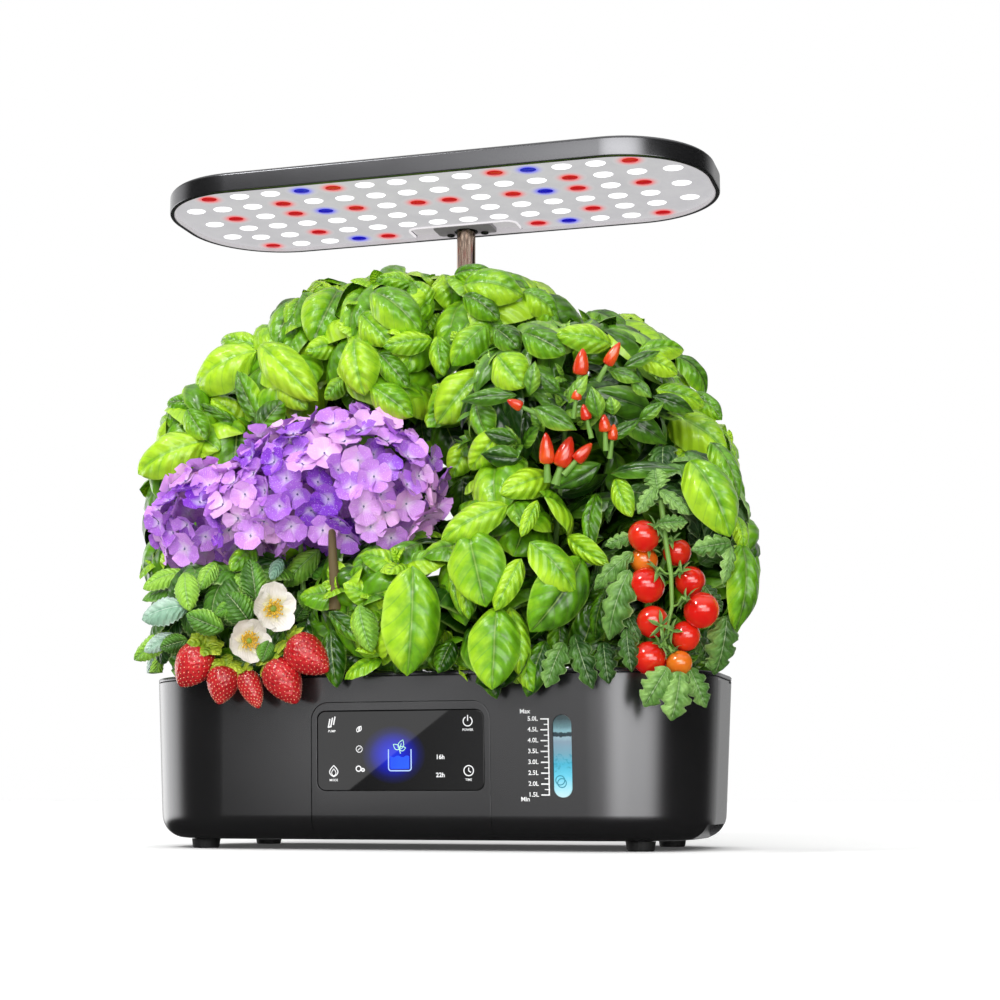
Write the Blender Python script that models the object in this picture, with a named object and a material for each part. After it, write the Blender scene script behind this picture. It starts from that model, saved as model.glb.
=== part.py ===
"""Countertop hydroponic garden: a water tank with a planted deck and a lamp on a telescopic mast.

Metres, +Z up. The origin is on the surface that the garden stands on, under the middle of the
tank. The control panel faces -Y. Blender 4.5: blender --background --python part.py
"""

import bmesh
import bpy
from math import cos, pi, radians, sin, tan
from mathutils import Matrix, Vector

# Fits
FIT_GAP = 0.0003
SLIDE_GAP = 0.0004
OVERRUN = 0.020
ROUND_STEPS = 24
SMALL_STEPS = 12
CORNER_STEPS = 8
FILLET_STEPS = 4
SHARP_EDGE_ANGLE = radians(32)
QUARTER_TURN = pi / 2

# Tank
TANK_WIDTH = 0.400
TANK_DEPTH = 0.188
TANK_CORNER_RADIUS = 0.076
TANK_UNDERSIDE = 0.0065
TANK_RIM = 0.11255
TANK_FILLET = 0.0165
TANK_DRAFT = radians(3.1)
TANK_WALL = 0.003

GRIP_RADIUS = 0.010
GRIP_LENGTH = 0.070
GRIP_INSET = 0.007
FINGER_SLOT_LENGTH = 0.056
FINGER_SLOT_HEIGHT = 0.0022
FINGER_SLOT_DEPTH = 0.0018

# Feet
FOOT_TOP_RADIUS = 0.0098
FOOT_BOTTOM_RADIUS = 0.0090
FOOT_INSET_X = 0.0485
FOOT_INSET_Y = 0.039
FOOT_SPACING_X = TANK_WIDTH - 2 * FOOT_INSET_X
FOOT_SPACING_Y = TANK_DEPTH - 2 * FOOT_INSET_Y
FOOT_EDGE = 0.0008

# Control panel
PANEL_TOP = 0.096
PANEL_CORNER_RADIUS = 0.012
PANEL_POCKET_DEPTH = 0.024
PANEL_WALL = 0.0046
GLASS_WIDTH = 0.114
GLASS_MARGIN_SIDE = 0.0045
GLASS_MARGIN_TOP = 0.006
GLASS_LOW = 0.0385
GLASS_HIGH = PANEL_TOP - GLASS_MARGIN_TOP
PANEL_WIDTH = GLASS_WIDTH + 2 * GLASS_MARGIN_SIDE
GLASS_CORNER_RADIUS = 0.0055
GLASS_THICKNESS = 0.002
GLASS_RECESS = 0.0004
DISPLAY_MARGIN = 0.006
BOARD_THICKNESS = 0.0016
BOARD_MARGIN = 0.003

# Level window and gauge side of the tank
WINDOW_PLACE_SHARE = 0.76
FRONT_FLAT_END = TANK_WIDTH / 2 - TANK_CORNER_RADIUS
WINDOW_X = PANEL_WIDTH / 2 + WINDOW_PLACE_SHARE * (FRONT_FLAT_END - PANEL_WIDTH / 2)
WINDOW_WIDTH = 0.012
WINDOW_LOW = 0.034
WINDOW_HIGH = 0.086
WINDOW_RECESS = 0.0003
WINDOW_FLANGE = 0.0022
WINDOW_FLANGE_THICKNESS = 0.0016

# Power inlet at the back
INLET_PLACE_SHARE = 0.2375
INLET_X = -INLET_PLACE_SHARE * TANK_WIDTH
INLET_Z = 0.095
INLET_RADIUS = 0.0052
INLET_FLANGE_RADIUS = 0.0075
INLET_FLANGE_THICKNESS = 0.0012
INLET_LENGTH = 0.012
INLET_BORE_RADIUS = 0.00275
INLET_PIN_RADIUS = 0.0010
INLET_BORE_DEPTH = 0.0095

# Pump
PUMP_PLACE_SHARE = 0.28
PUMP_X = PUMP_PLACE_SHARE * TANK_WIDTH
PUMP_Y = 0.0
PUMP_RADIUS = 0.018
PUMP_LEG_HEIGHT = 0.004
PUMP_LEG_WIDTH = 0.006
PUMP_HEIGHT = 0.034
CHAMBER_RADIUS = 0.0125
CHAMBER_FLOOR = 0.003
CHAMBER_HEIGHT = 0.010
INTAKE_RADIUS = 0.006
SPIGOT_OFFSET = 0.0085
SPIGOT_RADIUS = 0.0034
SPIGOT_BORE_RADIUS = 0.0021
SPIGOT_HEIGHT = 0.010
BEARING_RADIUS = 0.0016
BEARING_DEPTH = 0.005
IMPELLER_CLEARANCE = 0.0009
IMPELLER_HUB_RADIUS = 0.0032
IMPELLER_BLADE_THICKNESS = 0.0012
IMPELLER_BLADES = 6
SHAFT_RADIUS = 0.0012
RISER_WALL = 0.0012
RISER_TOP = 0.100

# Planting deck
DECK_TOP = 0.1155
DECK_EDGE_ROUND = 0.0010
SKIRT_THICKNESS = 0.0018
SKIRT_DEPTH = 0.0080
MAST_X = 0.0
MAST_INSET = 0.039
MAST_Y = TANK_DEPTH / 2 - MAST_INSET
MAST_SOCKET_RADIUS = 0.0135
MAST_SOCKET_TOP = 0.1205
MAST_SOCKET_LOW = 0.082
MAST_SOCKET_FLOOR = 0.003
LEAD_HOLE_RADIUS = 0.003

# Pods: two rows of six
POD_COLUMNS = 6
POD_PITCH_SHARE = 0.14
POD_PITCH_X = POD_PITCH_SHARE * TANK_WIDTH
POD_INSET_FRONT = 0.054
POD_INSET_BACK = 0.059
POD_FRONT_Y = POD_INSET_FRONT - TANK_DEPTH / 2
POD_BACK_Y = TANK_DEPTH / 2 - POD_INSET_BACK
BASKET_TOP_RADIUS = 0.0136
BASKET_BOTTOM_RADIUS = 0.0098
BASKET_FLANGE_RADIUS = 0.0165
BASKET_FLANGE_THICKNESS = 0.0016
BASKET_DEPTH = 0.050
BASKET_WALL = 0.0012
BASKET_SLOT_WIDTH = 0.0035
BASKET_SLOT_HEIGHT = 0.014
SPONGE_HEIGHT = 0.030
SPONGE_PROUD = 0.0008

# Fill port and its swivel cover
PORT_INSET = 0.023
PORT_X = TANK_WIDTH / 2 - PORT_INSET
PORT_Y = 0.009
PORT_RADIUS = 0.011
COVER_MARGIN = 0.003
COVER_THICKNESS = 0.0020
COVER_RIB_HEIGHT = 0.0014
COVER_RIB_WIDTH = 0.0024
COVER_PIVOT_REACH = 0.027
COVER_PIVOT_BOSS = 0.0058
COVER_PIN_RADIUS = 0.0020
COVER_SNAP_RADIUS = 0.0030
COVER_SNAP_THICKNESS = 0.0012

# Mast
MAST_LOWER_RADIUS = 0.0090
MAST_LOWER_TOP = 0.300
MAST_UPPER_RADIUS = 0.0070
MAST_TUBE_WALL = 0.0012
MAST_OVERLAP = 0.062
COLLAR_RADIUS = 0.0112
COLLAR_HEIGHT = 0.016
COLLAR_LIP = 0.005

# Lamp
LAMP_WIDTH = 0.403
LAMP_DEPTH = 0.1544
LAMP_CORNER_RADIUS = 0.067
LAMP_BACK_REACH = 0.0116
LAMP_UNDERSIDE = 0.4551
LAMP_RIM_HEIGHT = 0.0137
LAMP_EDGE_ROUND = 0.0010
LAMP_CROWN = 0.0022
LAMP_CROWN_INSET = 0.012
LAMP_WALL = 0.0030
LAMP_ROOF = 0.0025
BEZEL_WIDTH = 0.0035
BEZEL_THICKNESS = 0.0020
BEZEL_RECESS = 0.0006
LED_BOARD_THICKNESS = 0.0016
LED_PITCH = 0.0237
LED_COLUMNS = 14
LED_ROWS = 6
LED_LENGTH = 0.0110
LED_WIDTH = 0.0085
LED_HEIGHT = 0.0008
SIDE_LED_X = 0.177
SIDE_LED_PITCH = 0.0325
BAY_WIDTH = 0.084
BAY_DEPTH = 0.0311
BAY_CORNER_RADIUS = 0.006
BRACKET_WIDTH = 0.045
BRACKET_FRONT_MARGIN = 0.005
BRACKET_THICKNESS = 0.0026
BRACKET_CORNER_RADIUS = 0.004
SCREW_SPACING = 0.0268
SCREW_BEHIND_MAST = 0.0042
MAST_SEAT_DEPTH = 0.005
SCREW_HEAD_RADIUS = 0.0030
SCREW_HEAD_HEIGHT = 0.0012
SCREW_SHANK_RADIUS = 0.0014
SCREW_LENGTH = 0.0065
SCREW_SLOT_WIDTH = 0.0009
SCREW_SLOT_DEPTH = 0.0006

# Foliage: each plant keeps to its own cell of the planted dome
FOLIAGE_OVERHANG_SIDE = 0.036
FOLIAGE_OVERHANG_FRONT = 0.024
FOLIAGE_HALF_WIDTH = TANK_WIDTH / 2 + FOLIAGE_OVERHANG_SIDE
FOLIAGE_HALF_DEPTH = TANK_DEPTH / 2 + FOLIAGE_OVERHANG_FRONT
FOLIAGE_CLEAR_OF_DECK = 0.007
FOLIAGE_CLEAR_OF_LAMP = 0.0381
FOLIAGE_BASE = DECK_TOP + FOLIAGE_CLEAR_OF_DECK
FOLIAGE_TOP = LAMP_UNDERSIDE - FOLIAGE_CLEAR_OF_LAMP
FOLIAGE_GAP = 0.0012
CROWN_STEPS = (16, 8)
TUFT_STEPS = (10, 6)
STEM_STEPS = 8
SOFT_STEM_RADIUS = 0.0030
LEAFY_STEM_RADIUS = 0.0035
WOODY_STEM_RADIUS = 0.0040


class Plant:
    """A plant's place and spread.

    The pod is its column and row. Centre and spread are shares of the foliage's half width, half
    depth and height, and so are those of the tuft that hangs over the front rim.
    """

    def __init__(self, name, pod, stem_radius, centre_shares, spread_shares, tuft_shares=None):
        self.name = name
        self.stem_radius = stem_radius
        self.centre = foliage_point(centre_shares)
        self.spread = foliage_size(spread_shares)
        self.tuft = tuft_shares
        place = pod_place(*pod)
        self.root = Vector((place.x, place.y, sponge_top() + FIT_GAP))


def foliage_size(shares):
    """Turn shares of the foliage's half width, half depth and height into lengths."""
    height = FOLIAGE_TOP - DECK_TOP
    full = (FOLIAGE_HALF_WIDTH, FOLIAGE_HALF_DEPTH, height)
    return Vector([share * size for share, size in zip(shares, full)])


def foliage_point(shares):
    """Place a point by its shares, with the height counted from the deck's top."""
    return foliage_size(shares) + Vector((0, 0, DECK_TOP))


def pod_place(column, row):
    """Return the middle of a pod's hole at the deck's top; row 0 is the front one."""
    x = (column - (POD_COLUMNS - 1) / 2) * POD_PITCH_X
    return Vector((x, POD_BACK_Y if row else POD_FRONT_Y, DECK_TOP))


def all_pods():
    """List every pod as its column and row, front row first."""
    return [(column, row) for row in range(2) for column in range(POD_COLUMNS)]


def sponge_top():
    """Height of the sponges' top faces, just proud of the basket flanges."""
    return DECK_TOP + FIT_GAP + BASKET_FLANGE_THICKNESS + SPONGE_PROUD


def material(name, colour, roughness, metallic=0.0, alpha=1.0):
    """Make a Principled material."""
    made = bpy.data.materials.new(name)
    made.use_nodes = True
    shader = made.node_tree.nodes["Principled BSDF"]
    shader.inputs["Base Color"].default_value = (*colour, 1)
    shader.inputs["Roughness"].default_value = roughness
    shader.inputs["Metallic"].default_value = metallic
    shader.inputs["Alpha"].default_value = alpha
    return made


def solid_from(name, build):
    """Make an object whose mesh the function build fills."""
    shape = bmesh.new()
    build(shape)
    bmesh.ops.recalc_face_normals(shape, faces=shape.faces)
    mesh = bpy.data.meshes.new(name)
    shape.to_mesh(mesh)
    shape.free()
    made = bpy.data.objects.new(name, mesh)
    bpy.context.scene.collection.objects.link(made)
    return made


def skin(shape, loops, ring=False):
    """Join loops of as many points each into one closed surface, as a solid or as a ring."""
    rows = [[shape.verts.new(point) for point in loop] for loop in loops]
    pairs = list(zip(rows, rows[1:]))
    if ring:
        pairs.append((rows[-1], rows[0]))
    else:
        shape.faces.new(reversed(rows[0]))
        shape.faces.new(rows[-1])
    for low, high in pairs:
        for i in range(len(low)):
            j = (i + 1) % len(low)
            shape.faces.new((low[i], low[j], high[j], high[i]))


def loft(name, loops, ring=False):
    """Make a solid from loops of points."""
    return solid_from(name, lambda shape: skin(shape, loops, ring))


def combine(body, other, operation):
    """Apply a Boolean to body and drop the other solid."""
    modifier = body.modifiers.new(operation.title(), "BOOLEAN")
    modifier.operation = operation
    modifier.solver = "EXACT"
    modifier.object = other
    graph = bpy.context.evaluated_depsgraph_get()
    cut_mesh = bpy.data.meshes.new_from_object(body.evaluated_get(graph))
    body.modifiers.clear()
    body.data = cut_mesh
    bpy.data.objects.remove(other)
    return body


def cut(body, *cutters):
    """Cut each solid out of body."""
    for cutter in cutters:
        combine(body, cutter, "DIFFERENCE")
    return body


def fuse(body, *others):
    """Add each solid to body."""
    for other in others:
        combine(body, other, "UNION")
    return body


def finish(body, look, parent=None, origin=None):
    """Give a piece its look, its joint's origin and its carrier."""
    body.data.materials.clear()
    body.data.materials.append(look)
    body.data.shade_smooth()
    body.data.set_sharp_from_angle(angle=SHARP_EDGE_ANGLE)
    if origin is not None:
        body.data.transform(Matrix.Translation(-Vector(origin)))
        body.location = origin
    if parent is not None:
        body.parent = parent
        body.matrix_parent_inverse = parent.matrix_world.inverted()
    return body


def carrier(name, place, parent=None):
    """Make the empty that carries the pieces of one moving body."""
    made = bpy.data.objects.new(name, None)
    bpy.context.scene.collection.objects.link(made)
    made.location = place
    if parent is not None:
        made.parent = parent
        made.matrix_parent_inverse = parent.matrix_world.inverted()
    bpy.context.view_layer.update()
    return made


def circle(radius, z, x=0.0, y=0.0, steps=ROUND_STEPS):
    """Points of a level circle."""
    turns = [2 * pi * step / steps for step in range(steps)]
    return [(x + radius * cos(turn), y + radius * sin(turn), z) for turn in turns]


def rounded(width, depth, radius, steps=CORNER_STEPS, middle=(0.0, 0.0)):
    """Outline of a rounded rectangle as pairs, anticlockwise from its lower right corner."""
    points = []
    for corner, (side_x, side_y) in enumerate(((1, -1), (1, 1), (-1, 1), (-1, -1))):
        x = middle[0] + side_x * (width / 2 - radius)
        y = middle[1] + side_y * (depth / 2 - radius)
        for step in range(steps + 1):
            turn = (corner - 1 + step / steps) * QUARTER_TURN
            points.append((x + radius * cos(turn), y + radius * sin(turn)))
    return points


def level(outline, z):
    """Lay an outline of pairs at one height."""
    return [(x, y, z) for x, y in outline]


def rectangle(low_x, high_x, low_y, high_y):
    """Outline of a plain rectangle as pairs, anticlockwise."""
    return [(low_x, low_y), (high_x, low_y), (high_x, high_y), (low_x, high_y)]


def turned(name, profile, x, y, steps=ROUND_STEPS, ring=False):
    """Turn pairs of radius and height about an upright axis."""
    return loft(name, [circle(radius, z, x, y, steps) for radius, z in profile], ring)


def box(name, low, high):
    """Make a plain block between two corners."""
    outline = rectangle(low[0], high[0], low[1], high[1])
    return loft(name, [level(outline, low[2]), level(outline, high[2])])


def lean(z):
    """How far the tank's wall has drawn in at a height, from its full size at the deck's top."""
    return (DECK_TOP - z) * tan(TANK_DRAFT)


def front_y(z):
    """Front face of the tank at a height."""
    return -TANK_DEPTH / 2 + lean(z)


def front_prism(name, outline, near, far):
    """Extrude an outline of X and Z pairs between two depths behind the leaning front face."""
    loops = [[(x, front_y(z) + depth, z) for x, z in outline] for depth in (near, far)]
    return loft(name, loops)


def tank_form(name, inset=0.0, overrun=0.0):
    """The tank's outer form, or the one inside it by inset: drafted walls and a round bottom."""
    fillet = TANK_FILLET - inset
    middle_z = TANK_UNDERSIDE + TANK_FILLET
    steps = [step / FILLET_STEPS * QUARTER_TURN for step in range(FILLET_STEPS, 0, -1)]
    rows = [
        (middle_z - fillet * sin(turn), lean(middle_z) + TANK_FILLET - fillet * cos(turn))
        for turn in steps
    ]
    rows.append((middle_z, lean(middle_z) + inset))
    top = TANK_RIM + overrun
    rows.append((top, lean(top) + inset))
    loops = []
    for z, drawn_in in rows:
        width = TANK_WIDTH - 2 * drawn_in
        depth = TANK_DEPTH - 2 * drawn_in
        loops.append(level(rounded(width, depth, TANK_CORNER_RADIUS - drawn_in), z))
    return loft(name, loops)


def panel_outline(grow, bottom):
    """Front outline of the control block: straight sides and round upper corners."""
    half = PANEL_WIDTH / 2 + grow
    top = PANEL_TOP + grow
    radius = PANEL_CORNER_RADIUS + grow
    points = [(-half, bottom), (half, bottom)]
    for side in (0, 1):
        middle_x = (1 - 2 * side) * (half - radius)
        for step in range(CORNER_STEPS + 1):
            turn = (side + step / CORNER_STEPS) * QUARTER_TURN
            points.append((middle_x + radius * cos(turn), top - radius + radius * sin(turn)))
    return points


def glass_outline(grow):
    """Outline of the panel's glass, grown by a clearance or drawn in by a margin."""
    height = GLASS_HIGH - GLASS_LOW
    middle = (0.0, (GLASS_HIGH + GLASS_LOW) / 2)
    radius = max(GLASS_CORNER_RADIUS + grow, GLASS_CORNER_RADIUS / 2)
    return rounded(GLASS_WIDTH + 2 * grow, height + 2 * grow, radius, CORNER_STEPS // 2, middle)


def window_outline(grow):
    """Outline of the level window: a slot with round ends."""
    width = WINDOW_WIDTH + 2 * grow
    height = WINDOW_HIGH - WINDOW_LOW + 2 * grow
    return rounded(width, height, width / 2, CORNER_STEPS, (WINDOW_X, (WINDOW_HIGH + WINDOW_LOW) / 2))


def grip(name, side, grow, reach):
    """A round bar along Y where fingers go under one end of the tank."""
    radius = GRIP_RADIUS + grow
    x = side * (TANK_WIDTH / 2 - lean(TANK_UNDERSIDE) - GRIP_INSET + GRIP_RADIUS / 2)
    loops = []
    for y in (-reach, reach):
        turns = [2 * pi * step / ROUND_STEPS for step in range(ROUND_STEPS)]
        loops.append([(x + radius * cos(t), y, TANK_UNDERSIDE + radius * sin(t)) for t in turns])
    return loft(name, loops)


def make_tank(look):
    """Open tank with a pocket for the control block, grips, finger slots, window and inlet holes."""
    pocket_floor = -OVERRUN
    hollow = tank_form("hollow", TANK_WALL, OVERRUN)
    pocket_wall = PANEL_POCKET_DEPTH + TANK_WALL
    cut(hollow, front_prism("wall", panel_outline(TANK_WALL, pocket_floor), -OVERRUN, pocket_wall))
    for side in (-1, 1):
        cut(hollow, grip("grip", side, TANK_WALL, GRIP_LENGTH / 2 + TANK_WALL))
    tank = cut(tank_form("tank"), hollow)
    cut(tank, front_prism("pocket", panel_outline(0.0, pocket_floor), -OVERRUN, PANEL_POCKET_DEPTH))
    cut(tank, front_prism("window", window_outline(FIT_GAP), -OVERRUN, TANK_WALL + OVERRUN))
    for side in (-1, 1):
        cut(tank, grip("grip", side, 0.0, GRIP_LENGTH / 2))
        outer = side * (TANK_WIDTH / 2 + OVERRUN)
        inner = side * (TANK_WIDTH / 2 - FINGER_SLOT_DEPTH)
        low = (min(outer, inner), -FINGER_SLOT_LENGTH / 2, TANK_RIM - FINGER_SLOT_HEIGHT)
        high = (max(outer, inner), FINGER_SLOT_LENGTH / 2, TANK_RIM + OVERRUN)
        cut(tank, box("finger_slot", low, high))
    inlet_hole = INLET_RADIUS + FIT_GAP
    cut(tank, inlet_part("hole", [(inlet_hole, -OVERRUN), (inlet_hole, OVERRUN)]))
    return finish(tank, look)


def inlet_part(name, profile):
    """Turn pairs of radius and depth about the inlet's level axis, depth inwards from the back."""
    back = TANK_DEPTH / 2 - lean(INLET_Z)
    loops = []
    for radius, depth in profile:
        loop = circle(radius, 0.0, steps=SMALL_STEPS)
        loops.append([(INLET_X - x, back - depth, INLET_Z + y) for x, y, _ in loop])
    return loft(name, loops)


def make_inlet(look):
    """Low-voltage barrel jack: a flange outside, a barrel through the wall and a centre pin."""
    seat = -FIT_GAP - INLET_RADIUS * tan(TANK_DRAFT)
    face = seat - INLET_FLANGE_THICKNESS
    socket = inlet_part("dc_socket", [
        (INLET_FLANGE_RADIUS, face),
        (INLET_FLANGE_RADIUS, seat),
        (INLET_RADIUS, seat),
        (INLET_RADIUS, INLET_LENGTH),
    ])
    bore_end = face + INLET_BORE_DEPTH
    cut(socket, inlet_part("bore", [(INLET_BORE_RADIUS, -OVERRUN), (INLET_BORE_RADIUS, bore_end)]))
    pin_front = face + INLET_BORE_DEPTH - 2 * INLET_BORE_RADIUS
    pin_root = bore_end + FIT_GAP
    fuse(socket, inlet_part("pin", [(INLET_PIN_RADIUS, pin_front), (INLET_PIN_RADIUS, pin_root)]))
    return finish(socket, look)


def make_feet(look):
    """Four rubber feet under the tank."""
    top = TANK_UNDERSIDE - FIT_GAP
    profile = [
        (FOOT_BOTTOM_RADIUS - FOOT_EDGE, 0.0),
        (FOOT_BOTTOM_RADIUS, FOOT_EDGE),
        (FOOT_TOP_RADIUS, top),
    ]
    for end_x, side_name in ((-1, "left"), (1, "right")):
        for end_y, end_name in ((-1, "front"), (1, "back")):
            x = end_x * FOOT_SPACING_X / 2
            y = end_y * FOOT_SPACING_Y / 2
            finish(turned(f"foot_{end_name}_{side_name}", profile, x, y), look)


def make_control_panel(housing_look, glass_look, board_look):
    """Control block in the tank's front: a housing, its touch glass and the board behind."""
    outline = panel_outline(-FIT_GAP, 0.0)
    depth = PANEL_POCKET_DEPTH - FIT_GAP
    block = front_prism("block", outline, -OVERRUN, depth)
    housing = combine(tank_form("control_housing"), block, "INTERSECT")
    hollow = tank_form("hollow", PANEL_WALL)
    inner = panel_outline(-PANEL_WALL / 2, 0.0)
    combine(hollow, front_prism("inner", inner, -OVERRUN, depth + OVERRUN), "INTERSECT")
    cut(housing, hollow)
    seat = GLASS_RECESS + GLASS_THICKNESS + FIT_GAP
    cut(housing, front_prism("glass_seat", glass_outline(FIT_GAP), -OVERRUN, seat))
    cut(housing, front_prism("sight", glass_outline(-DISPLAY_MARGIN), 0.0, PANEL_WALL + OVERRUN))
    finish(housing, housing_look)

    glass_back = GLASS_RECESS + GLASS_THICKNESS
    finish(front_prism("control_glass", glass_outline(0.0), GLASS_RECESS, glass_back), glass_look)

    board_front = PANEL_WALL + FIT_GAP
    board_back = board_front + BOARD_THICKNESS
    board = front_prism("control_board", glass_outline(-BOARD_MARGIN), board_front, board_back)
    display = glass_outline(-DISPLAY_MARGIN - FIT_GAP)
    fuse(board, front_prism("display", display, seat, board_front + BOARD_THICKNESS / 2))
    finish(board, board_look)


def make_level_window(look):
    """Clear window through the front wall, with a flange behind it."""
    wall = TANK_WALL + FIT_GAP
    plug_end = wall + WINDOW_FLANGE_THICKNESS / 2
    window = front_prism("level_window", window_outline(0.0), WINDOW_RECESS, plug_end)
    flange = window_outline(WINDOW_FLANGE)
    fuse(window, front_prism("flange", flange, wall, wall + WINDOW_FLANGE_THICKNESS))
    finish(window, look)


def make_pump(housing_look, impeller_look, tube_look, pump_carrier):
    """Small submersible pump on the tank's floor, its impeller and the riser tube."""
    floor = TANK_UNDERSIDE + TANK_WALL + FIT_GAP
    base = floor + PUMP_LEG_HEIGHT
    top = base + PUMP_HEIGHT
    housing = turned("pump_housing", [(PUMP_RADIUS, base), (PUMP_RADIUS, top)], PUMP_X, PUMP_Y)
    leg_reach = PUMP_RADIUS - PUMP_LEG_WIDTH
    for side_x in (-1, 1):
        for side_y in (-1, 1):
            x = PUMP_X + side_x * leg_reach / 2
            y = PUMP_Y + side_y * leg_reach
            low = (x - PUMP_LEG_WIDTH / 2, y - PUMP_LEG_WIDTH / 2, floor)
            high = (x + PUMP_LEG_WIDTH / 2, y + PUMP_LEG_WIDTH / 2, base + CHAMBER_FLOOR / 2)
            fuse(housing, box("leg", low, high))
    spigot_x = PUMP_X + SPIGOT_OFFSET
    spigot_top = top + SPIGOT_HEIGHT
    spigot = [(SPIGOT_RADIUS, top - CHAMBER_FLOOR), (SPIGOT_RADIUS, spigot_top)]
    fuse(housing, turned("spigot", spigot, spigot_x, PUMP_Y, SMALL_STEPS))
    chamber_low = base + CHAMBER_FLOOR
    chamber_high = chamber_low + CHAMBER_HEIGHT
    under_roof = chamber_high - FIT_GAP
    bearing_top = chamber_high + BEARING_DEPTH
    cutters = (
        ("chamber", CHAMBER_RADIUS, chamber_low, chamber_high, PUMP_X, ROUND_STEPS),
        ("intake", INTAKE_RADIUS, base - OVERRUN, chamber_low + FIT_GAP, PUMP_X, SMALL_STEPS),
        ("outlet", SPIGOT_BORE_RADIUS, under_roof, spigot_top + OVERRUN, spigot_x, SMALL_STEPS),
        ("bearing", BEARING_RADIUS, under_roof, bearing_top, PUMP_X, SMALL_STEPS),
    )
    for name, radius, low, high, x, steps in cutters:
        cut(housing, turned(name, [(radius, low), (radius, high)], x, PUMP_Y, steps))
    finish(housing, housing_look)

    low = chamber_low + IMPELLER_CLEARANCE
    high = chamber_high - IMPELLER_CLEARANCE
    shaft_top = bearing_top - IMPELLER_CLEARANCE
    impeller = turned("pump_impeller", [
        (IMPELLER_HUB_RADIUS, low),
        (IMPELLER_HUB_RADIUS, high),
        (SHAFT_RADIUS, high),
        (SHAFT_RADIUS, shaft_top),
    ], PUMP_X, PUMP_Y, SMALL_STEPS)
    reach = CHAMBER_RADIUS - IMPELLER_CLEARANCE
    half = IMPELLER_BLADE_THICKNESS / 2
    for blade in range(IMPELLER_BLADES // 2):
        bar = box("blade", (-reach, -half, low + FIT_GAP), (reach, half, high - FIT_GAP))
        turn = Matrix.Rotation(pi * blade / (IMPELLER_BLADES // 2), 4, "Z")
        bar.data.transform(Matrix.Translation((PUMP_X, PUMP_Y, 0)) @ turn)
        fuse(impeller, bar)
    finish(impeller, impeller_look, pump_carrier, (PUMP_X, PUMP_Y, chamber_low))

    inner = SPIGOT_RADIUS + FIT_GAP
    outer = inner + RISER_WALL
    riser_low = top + FIT_GAP
    profile = [(outer, riser_low), (outer, RISER_TOP), (inner, RISER_TOP), (inner, riser_low)]
    finish(turned("riser_tube", profile, spigot_x, PUMP_Y, SMALL_STEPS, ring=True), tube_look)


def deck_loop(inset, z):
    """The deck's outline drawn in by inset at a height."""
    radius = TANK_CORNER_RADIUS - inset
    return level(rounded(TANK_WIDTH - 2 * inset, TANK_DEPTH - 2 * inset, radius), z)


def make_deck(look, deck_carrier):
    """Planting deck: plate, skirt inside the rim, pod holes, mast socket and fill port."""
    under = TANK_RIM + FIT_GAP
    deck = loft("planting_deck", [
        deck_loop(lean(under), under),
        deck_loop(0.0, DECK_TOP - DECK_EDGE_ROUND),
        deck_loop(DECK_EDGE_ROUND, DECK_TOP),
    ])
    skirt_out = lean(under - SKIRT_DEPTH) + TANK_WALL + SLIDE_GAP
    skirt_in = skirt_out + SKIRT_THICKNESS
    low = under - SKIRT_DEPTH
    high = under + FIT_GAP
    corners = ((skirt_out, low), (skirt_out, high), (skirt_in, high), (skirt_in, low))
    fuse(deck, loft("skirt", [deck_loop(inset, z) for inset, z in corners], ring=True))
    boss = [(MAST_SOCKET_RADIUS, MAST_SOCKET_LOW), (MAST_SOCKET_RADIUS, MAST_SOCKET_TOP)]
    fuse(deck, turned("mast_socket", boss, MAST_X, MAST_Y))
    bore_radius = MAST_LOWER_RADIUS + FIT_GAP
    socket_floor = MAST_SOCKET_LOW + MAST_SOCKET_FLOOR
    bore = [(bore_radius, socket_floor), (bore_radius, MAST_SOCKET_TOP + OVERRUN)]
    cut(deck, turned("mast_bore", bore, MAST_X, MAST_Y))
    lead_hole = [(LEAD_HOLE_RADIUS, MAST_SOCKET_LOW - OVERRUN), (LEAD_HOLE_RADIUS, DECK_TOP)]
    cut(deck, turned("lead_hole", lead_hole, MAST_X, MAST_Y, SMALL_STEPS))
    holes = [(pod_place(*pod), BASKET_TOP_RADIUS + SLIDE_GAP) for pod in all_pods()]
    holes.append((Vector((PORT_X, PORT_Y, DECK_TOP)), PORT_RADIUS))
    holes.append((cover_pivot(), COVER_PIN_RADIUS + FIT_GAP))

    def fill_holes(shape):
        for place, radius in holes:
            heights = (under - OVERRUN, DECK_TOP + OVERRUN)
            ends = [circle(radius, z, place.x, place.y, SMALL_STEPS) for z in heights]
            skin(shape, ends)

    cut(deck, solid_from("holes", fill_holes))
    return finish(deck, look, deck_carrier)


def cover_pivot():
    """Where the fill port's cover turns."""
    return Vector((PORT_X, PORT_Y - COVER_PIVOT_REACH, DECK_TOP))


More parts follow.
